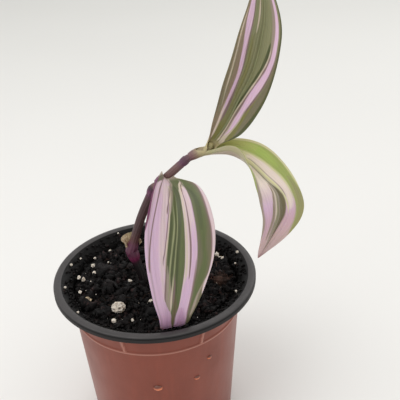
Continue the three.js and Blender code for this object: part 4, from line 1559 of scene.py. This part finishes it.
class TRADESCANTIA_OT_dry_sheath(bpy.types.Operator):
    """Makes the torn papery cup that an old leaf left round the lowest joint."""

    bl_idname = "tradescantia.dry_sheath"
    bl_label = "Dry sheath"

    def execute(self, context):
        foot = Vector(JOINT_1)
        rise = Vector(STEM_BEND) - foot

        def point(u, v):
            angle = DRY_START - DRY_WRAP * u
            torn = DRY_HEIGHT * smooth(222, 190, angle) + DRY_BACK * smooth(185, 130, angle)
            torn -= DRY_DROP * smooth(118, 70, angle) + 0.35 * noise.noise(Vector((u * 25, 3, 0)))
            height = DRY_FOOT - 0.2 + v * torn
            crease = noise.noise(Vector((u * 9, v * 3, 7)))
            crumple = 0.15 * v * sin(24 * u + 3 * v) + 0.3 * v * crease
            flare = DRY_FLARE * v**1.3 * exp(-(((angle - DRY_LEAN) / 48) ** 2)) + 0.5 * v
            radius = DRY_RADIUS + flare + crumple
            angle = radians(angle)
            around = Vector((radius * cos(angle), radius * sin(angle), 0))
            return foot + around + rise * (height / rise.z)

        bm = grid(DRY_COLUMNS, DRY_ROWS, point)
        bmesh.ops.recalc_face_normals(bm, faces=bm.faces)
        material = dry_material(context.scene.tradescantia_stem)
        piece = finished("dry_leaf_cup", bm, [material], ["dry_sheath"])
        wall = piece.modifiers.new("thickness", "SOLIDIFY")
        wall.thickness = DRY_SHEET * MM
        wall.offset = 0
        return {"FINISHED"}


# ---- leaves ----------------------------------------------------------------------------------

LEAF_COLUMNS = 100
LEAF_ROWS = 210
VEIN_PAIRS = 9
GROOVE_HALF_WIDTH = 0.65
EDGE_WAVE = 0.16  # how far the margins wave up and down
LEAST_TURN = 1e-4  # of a section, in radians, so that its radius stays finite
STRIPE_END = 0.025  # a stripe closes this far past its last station


def leaf_station(leaf, x):
    """The midrib point, the two directions of the section and its half width, fold and curl."""
    last = len(leaf["midrib"]) - 1
    ahead = along_points(leaf["midrib"], min(x + 0.006, last))
    behind = along_points(leaf["midrib"], max(x - 0.006, 0))
    forward = (ahead - behind).normalized()
    across = along_points(leaf["across"], x).normalized()
    up = forward.cross(across).normalized()
    curl = min(along(leaf["curl"], x), 179)
    sizes = along(leaf["half_width"], x), radians(along(leaf["fold"], x)), radians(curl)
    return along_points(leaf["midrib"], x), across, up, *sizes


def leaf_mesh(leaf, groove, vein):
    """The blade and its sheath as one sheet, channelled along the midrib and ribbed.

    Each half of its section is an arc: it leaves the midrib at the fold and turns by the curl.
    """
    last = len(leaf["midrib"]) - 1
    blade = last - SHEATH_STATIONS
    cache = {}

    def point(s, w):
        key = round(w * LEAF_ROWS)
        if key not in cache:
            cache[key] = leaf_station(leaf, w * last)
        midrib, across, up, half, fold, curl = cache[key]
        u = 2 * s - 1
        v = (w * last - SHEATH_STATIONS) / blade
        turn = curl * abs(u)
        if abs(turn) < LEAST_TURN:
            turn = LEAST_TURN
        side = 1 if u > 0 else -1
        reach = half * abs(u) / turn
        out = side * reach * (sin(fold + turn) - sin(fold))
        rise = reach * (cos(fold) - cos(fold + turn))
        lean = side * (fold + turn) * min(1, abs(u) * 8)
        broad = smooth(0.6, 6, half) * smooth(-0.02, 0.12, v)
        lift = vein * cos(2 * pi * VEIN_PAIRS * abs(u)) * (1 - abs(u) ** 6) * broad
        lift -= groove * exp(-((u * half / GROOVE_HALF_WIDTH) ** 2)) * broad
        lift += EDGE_WAVE * sin(19 * v + 2.1 * side) * abs(u) ** 4 * broad
        return midrib + across * (out - lift * sin(lean)) + up * (rise + lift * cos(lean))

    return grid(LEAF_COLUMNS, LEAF_ROWS, point)


class LeafPaint(Paint):
    """A leaf's finish: stripes over a ground colour, fine fibres and vein relief."""

    def __init__(self, name, settings, leaf, lower):
        super().__init__(name, 0.42, {**scattering(0.12, (1.2, 0.9, 0.5)), "Sheen Weight": 0.06})
        self.settings = settings
        self.lower = lower
        self.across, self.length = self.uv()
        last = len(leaf["midrib"]) - 1
        start = SHEATH_STATIONS / last
        self.blade = self.math("DIVIDE", self.math("SUBTRACT", self.length, start), 1 - start)
        self.blade_held = self.math("ADD", self.blade, 0, clamp=True)
        flat = self.laid_flat(self.across, self.length)
        self.fibres = self.noise(self.stretched(flat, (75, 4, 1)), 1, 4, 0.6)
        self.streaks = self.noise(self.stretched(flat, (30, 1.6, 1)), 1, 3, 0.6)
        self.drift = self.noise(self.stretched(flat, (9, 3, 1)), 1, 2, 0.5)
        sway = self.span(self.drift, 0.2, 0.8, -0.006, 0.006)
        self.shaken = self.math("ADD", self.across, sway)

    def stripe(self, stations, soft):
        """How far a point lies inside a stripe, from 0 to 1."""
        (first, left, right), (last, far_left, far_right) = stations[0], stations[-1]
        if first > 0 and right > left:
            middle = (left + right) / 2
            stations = [(max(first - STRIPE_END, 0), middle, middle), *stations]
        if last < 1 and far_right > far_left:
            middle = (far_left + far_right) / 2
            stations = [*stations, (min(last + STRIPE_END, 1), middle, middle)]
        middle = self.curve(self.blade_held, [(v, (l + r + 2) / 4) for v, l, r in stations])
        half = self.curve(self.blade_held, [(v, (r - l) / 4) for v, l, r in stations])
        off = self.math("ABSOLUTE", self.math("SUBTRACT", self.shaken, middle))
        inside = self.math("SUBTRACT", half, off)
        share = self.span(inside, -soft / 4, soft / 4)
        return self.math("MULTIPLY", share, self.span(half, 0, 0.004))

    def tint(self, name):
        """The setting of that name."""
        return tuple(getattr(self.settings, name.replace(" ", "_")))

    def striped(self, ground, stripes):
        """The blade's colours: the ground along it, cloudy, and the stripes over it in order."""
        colour = self.ramp(self.blade_held, [(v, self.tint(name)) for v, name in ground])
        pale = self.times(colour, (1.12, 1.12, 1.1))
        colour = self.mix(self.span(self.drift, 0.35, 0.65, 0, 0.8), colour, pale)
        for name, soft, stations in stripes:
            colour = self.mix(self.stripe(stations, soft), colour, self.tint(name))
        return colour

    def finish(self, leaf, stripes):
        """The whole face: striped blade, sheath, greyed lower face, fibres and browned tip."""
        colour = self.striped(leaf["ground"], stripes)
        lines = self.span(self.fibres, 0.45, 0.65)
        foot, top = (self.tint(name) for name in leaf["hold"])
        tube = self.mix(self.span(self.blade, -0.26, -0.02), foot, top)
        tube = self.mix(lines, tube, self.times(tube, (1.25, 1.25, 1.2)))
        colour = self.mix(self.span(self.blade, -0.02, 0.05), tube, colour)
        if self.lower:
            share = self.span(self.blade, -0.04, 0.08, 0, 0.6)
            colour = self.mix(share, colour, self.settings.underside)
        dark = self.times(colour, (0.86, 0.85, 0.85))
        colour = self.mix(self.span(self.fibres, 0.42, 0.72, 0, 0.6), dark, colour)
        light = self.times(colour, (1.16, 1.16, 1.16))
        colour = self.mix(self.span(self.streaks, 0.45, 0.72, 0, 0.5), colour, light)
        tip = self.times(colour, (0.6, 0.46, 0.46))
        colour = self.mix(self.span(self.blade, 0.95, 1.0), colour, tip)
        glitter = self.noise(self.objects(), 2600, 2)
        rough = self.span(glitter, 0.35, 0.7, 0.36, 0.5)
        normal = self.bump(glitter, 0.00003)
        normal = self.bump(self.fibres, 0.00012, normal)
        return self.surface(colour, rough, normal)


def add_leaf(context, leaf, stripes):
    """Makes one leaf: its sheet, painted on both faces and thinned at its edges and foot."""
    settings = context.scene.tradescantia_leaf
    bm = leaf_mesh(leaf, settings.groove / MM, settings.vein / MM)
    bmesh.ops.reverse_faces(bm, faces=bm.faces[:])
    name = leaf["name"]
    upper = LeafPaint(f"{name} upper face", settings, leaf, False)
    lower = LeafPaint(f"{name} lower face", settings, leaf, True)
    skins = [paint.finish(leaf, stripes) for paint in (upper, lower)]
    piece = finished(f"{name}_blade", bm, skins, [name])
    thin = piece.vertex_groups.new(name="thickness")
    layer = piece.data.uv_layers.active.data
    for loop in piece.data.loops:
        place = layer[loop.index].uv
        edge = 1 - 0.6 * smooth(0.7, 1, abs(2 * place.x - 1))
        foot = 0.25 + 0.75 * smooth(0, 0.06, place.y)
        thin.add([loop.vertex_index], edge * foot, "REPLACE")
    wall = piece.modifiers.new("thickness", "SOLIDIFY")
    wall.thickness = settings.thickness
    wall.offset = 0
    wall.vertex_group = thin.name
    wall.material_offset = 1
    wall.material_offset_rim = 0


class TRADESCANTIA_OT_front_leaf(bpy.types.Operator):
    """Makes the leaf that hangs down over the peat."""

    bl_idname = "tradescantia.front_leaf"
    bl_label = "Front leaf"

    def execute(self, context):
        add_leaf(context, FRONT_LEAF, FRONT_STRIPES)
        return {"FINISHED"}


class TRADESCANTIA_OT_side_leaf(bpy.types.Operator):
    """Makes the leaf that arches to the side and droops."""

    bl_idname = "tradescantia.side_leaf"
    bl_label = "Side leaf"

    def execute(self, context):
        add_leaf(context, SIDE_LEAF, SIDE_STRIPES)
        return {"FINISHED"}


class TRADESCANTIA_OT_top_leaf(bpy.types.Operator):
    """Makes the upright leaf."""

    bl_idname = "tradescantia.top_leaf"
    bl_label = "Top leaf"

    def execute(self, context):
        add_leaf(context, TOP_LEAF, TOP_STRIPES)
        return {"FINISHED"}


# ---- stage -----------------------------------------------------------------------------------

# How the camera is turned from a level look at the rim's centre, in degrees.
CAMERA_ROLL = -5.18
CAMERA_YAW = -4.18
CAMERA_PITCH = -5.53
SENSOR_WIDTH = 36
FLOOR_RADIUS = 4
# Each lamp, in metres: its name, its place, its size and its share of the key light's power.
LAMPS = (
    ("key", (-0.45, -0.25, 0.95), 0.7, 1.0),
    ("back", (0.5, 0.75, 0.7), 0.6, 0.45),
)
LAMP_AIM = (0, 0, 0.1)


class TRADESCANTIA_OT_stage(bpy.types.Operator):
    """Lays the pale floor, sets the lights and points the camera."""

    bl_idname = "tradescantia.stage"
    bl_label = "Stage"

    def execute(self, context):
        settings = context.scene.tradescantia_stage
        self.floor(settings)
        self.lights(context, settings)
        self.camera(context, settings)
        context.scene.view_settings.view_transform = "Standard"
        return {"FINISHED"}

    def floor(self, settings):
        """A wide pale disc, with painted shade that makes it a little dimmer far away."""
        bm = bmesh.new()
        bmesh.ops.create_circle(bm, cap_ends=True, segments=96, radius=FLOOR_RADIUS)
        mesh = bpy.data.meshes.new("floor")
        bm.to_mesh(mesh)
        bm.free()
        paint = Paint("pale floor", 0.75, {"Specular IOR Level": 0.2})
        clouds = paint.noise(paint.objects(), 3, 2)
        dimmer = scaled(settings.floor, 0.985)
        colour = paint.mix(paint.span(clouds, 0.3, 0.7), settings.floor, dimmer)
        # Painted shade: the floor is painted dimmer far away, where less light reaches it.
        away = paint.node("ShaderNodeSeparateXYZ", {0: paint.objects()}, 1)
        far = paint.times(colour, (0.83, 0.835, 0.825))
        colour = paint.mix(paint.span(away, 0, 1), colour, far)
        mesh.materials.append(paint.surface(colour))
        floor = bpy.data.objects.new("floor", mesh)
        bpy.context.scene.collection.objects.link(floor)

    def lights(self, context, settings):
        """Soft light all round, and two big lamps."""
        world = bpy.data.worlds.new("soft sky")
        context.scene.world = world
        world.use_nodes = True
        sky = world.node_tree.nodes["Background"]
        sky.inputs["Color"].default_value = (1, 0.995, 0.985, 1)
        sky.inputs["Strength"].default_value = settings.sky
        for name, place, size, share in LAMPS:
            lamp = bpy.data.lights.new(name, "AREA")
            lamp.size = size
            lamp.energy = settings.key * share
            holder = bpy.data.objects.new(name, lamp)
            holder.location = place
            aim = Vector(LAMP_AIM) - Vector(place)
            holder.rotation_euler = aim.to_track_quat("-Z", "Y").to_euler()
            context.scene.collection.objects.link(holder)

    def camera(self, context, settings):
        """Stands off from the rim's centre and looks down on it, turned a little aside."""
        target = Vector((0, 0, POT_HEIGHT * MM))
        angle = settings.elevation
        place = target + Vector((0, -cos(angle), sin(angle))) * settings.distance
        forward = (target - place).normalized()
        right = forward.cross(Vector((0, 0, 1))).normalized()
        # The rows are the directions to the right, down and forward as the camera sees them.
        level = Matrix((right, -right.cross(forward), forward))
        turned = (
            Matrix.Rotation(radians(CAMERA_ROLL), 3, "Z")
            @ Matrix.Rotation(radians(CAMERA_PITCH), 3, "X")
            @ Matrix.Rotation(radians(CAMERA_YAW), 3, "Y")
            @ level
        )
        axes = Matrix((turned[0], -turned[1], -turned[2])).transposed()
        data = bpy.data.cameras.new("camera")
        data.lens = settings.lens
        data.sensor_width = SENSOR_WIDTH
        data.clip_start = 0.01
        camera = bpy.data.objects.new("camera", data)
        camera.matrix_world = Matrix.Translation(place) @ axes.to_4x4()
        context.scene.collection.objects.link(camera)
        context.scene.camera = camera


# ---- add-on ----------------------------------------------------------------------------------

SETTINGS = {
    "tradescantia_pot": TRADESCANTIA_PG_pot,
    "tradescantia_soil": TRADESCANTIA_PG_soil,
    "tradescantia_stem": TRADESCANTIA_PG_stem,
    "tradescantia_leaf": TRADESCANTIA_PG_leaf,
    "tradescantia_stage": TRADESCANTIA_PG_stage,
}
OPERATORS = (
    TRADESCANTIA_OT_pot,
    TRADESCANTIA_OT_drops,
    TRADESCANTIA_OT_soil,
    TRADESCANTIA_OT_coir,
    TRADESCANTIA_OT_perlite,
    TRADESCANTIA_OT_bark,
    TRADESCANTIA_OT_stem,
    TRADESCANTIA_OT_dry_sheath,
    TRADESCANTIA_OT_front_leaf,
    TRADESCANTIA_OT_side_leaf,
    TRADESCANTIA_OT_top_leaf,
    TRADESCANTIA_OT_stage,
)


class TRADESCANTIA_PT_panel(bpy.types.Panel):
    """Lists the pieces of the plant, its pot and its stage."""

    bl_idname = "TRADESCANTIA_PT_panel"
    bl_label = "Potted tradescantia"
    bl_space_type = "VIEW_3D"
    bl_region_type = "UI"
    bl_category = "Tradescantia"

    def draw(self, context):
        for operator in OPERATORS:
            self.layout.operator(operator.bl_idname)
        for name, group in SETTINGS.items():
            box = self.layout.box()
            box.label(text=group.__doc__)
            for field in group.__annotations__:
                box.prop(getattr(context.scene, name), field)


def register():
    for cls in (*SETTINGS.values(), *OPERATORS, TRADESCANTIA_PT_panel):
        bpy.utils.register_class(cls)
    for name, group in SETTINGS.items():
        setattr(bpy.types.Scene, name, PointerProperty(type=group))


def unregister():
    for name in SETTINGS:
        delattr(bpy.types.Scene, name)
    for cls in reversed((*SETTINGS.values(), *OPERATORS, TRADESCANTIA_PT_panel)):
        bpy.utils.unregister_class(cls)


def run(operator):
    """Calls one operator by its name, and stops the script if it doesn't finish."""
    family, name = operator.bl_idname.split(".")
    result = getattr(getattr(bpy.ops, family), name)()
    if result != {"FINISHED"}:
        raise RuntimeError(f"{operator.bl_idname} did not finish")


def main():
    """Registers the add-on and makes every piece in order."""
    register()
    for operator in OPERATORS:
        run(operator)


if __name__ == "__main__":
    main()
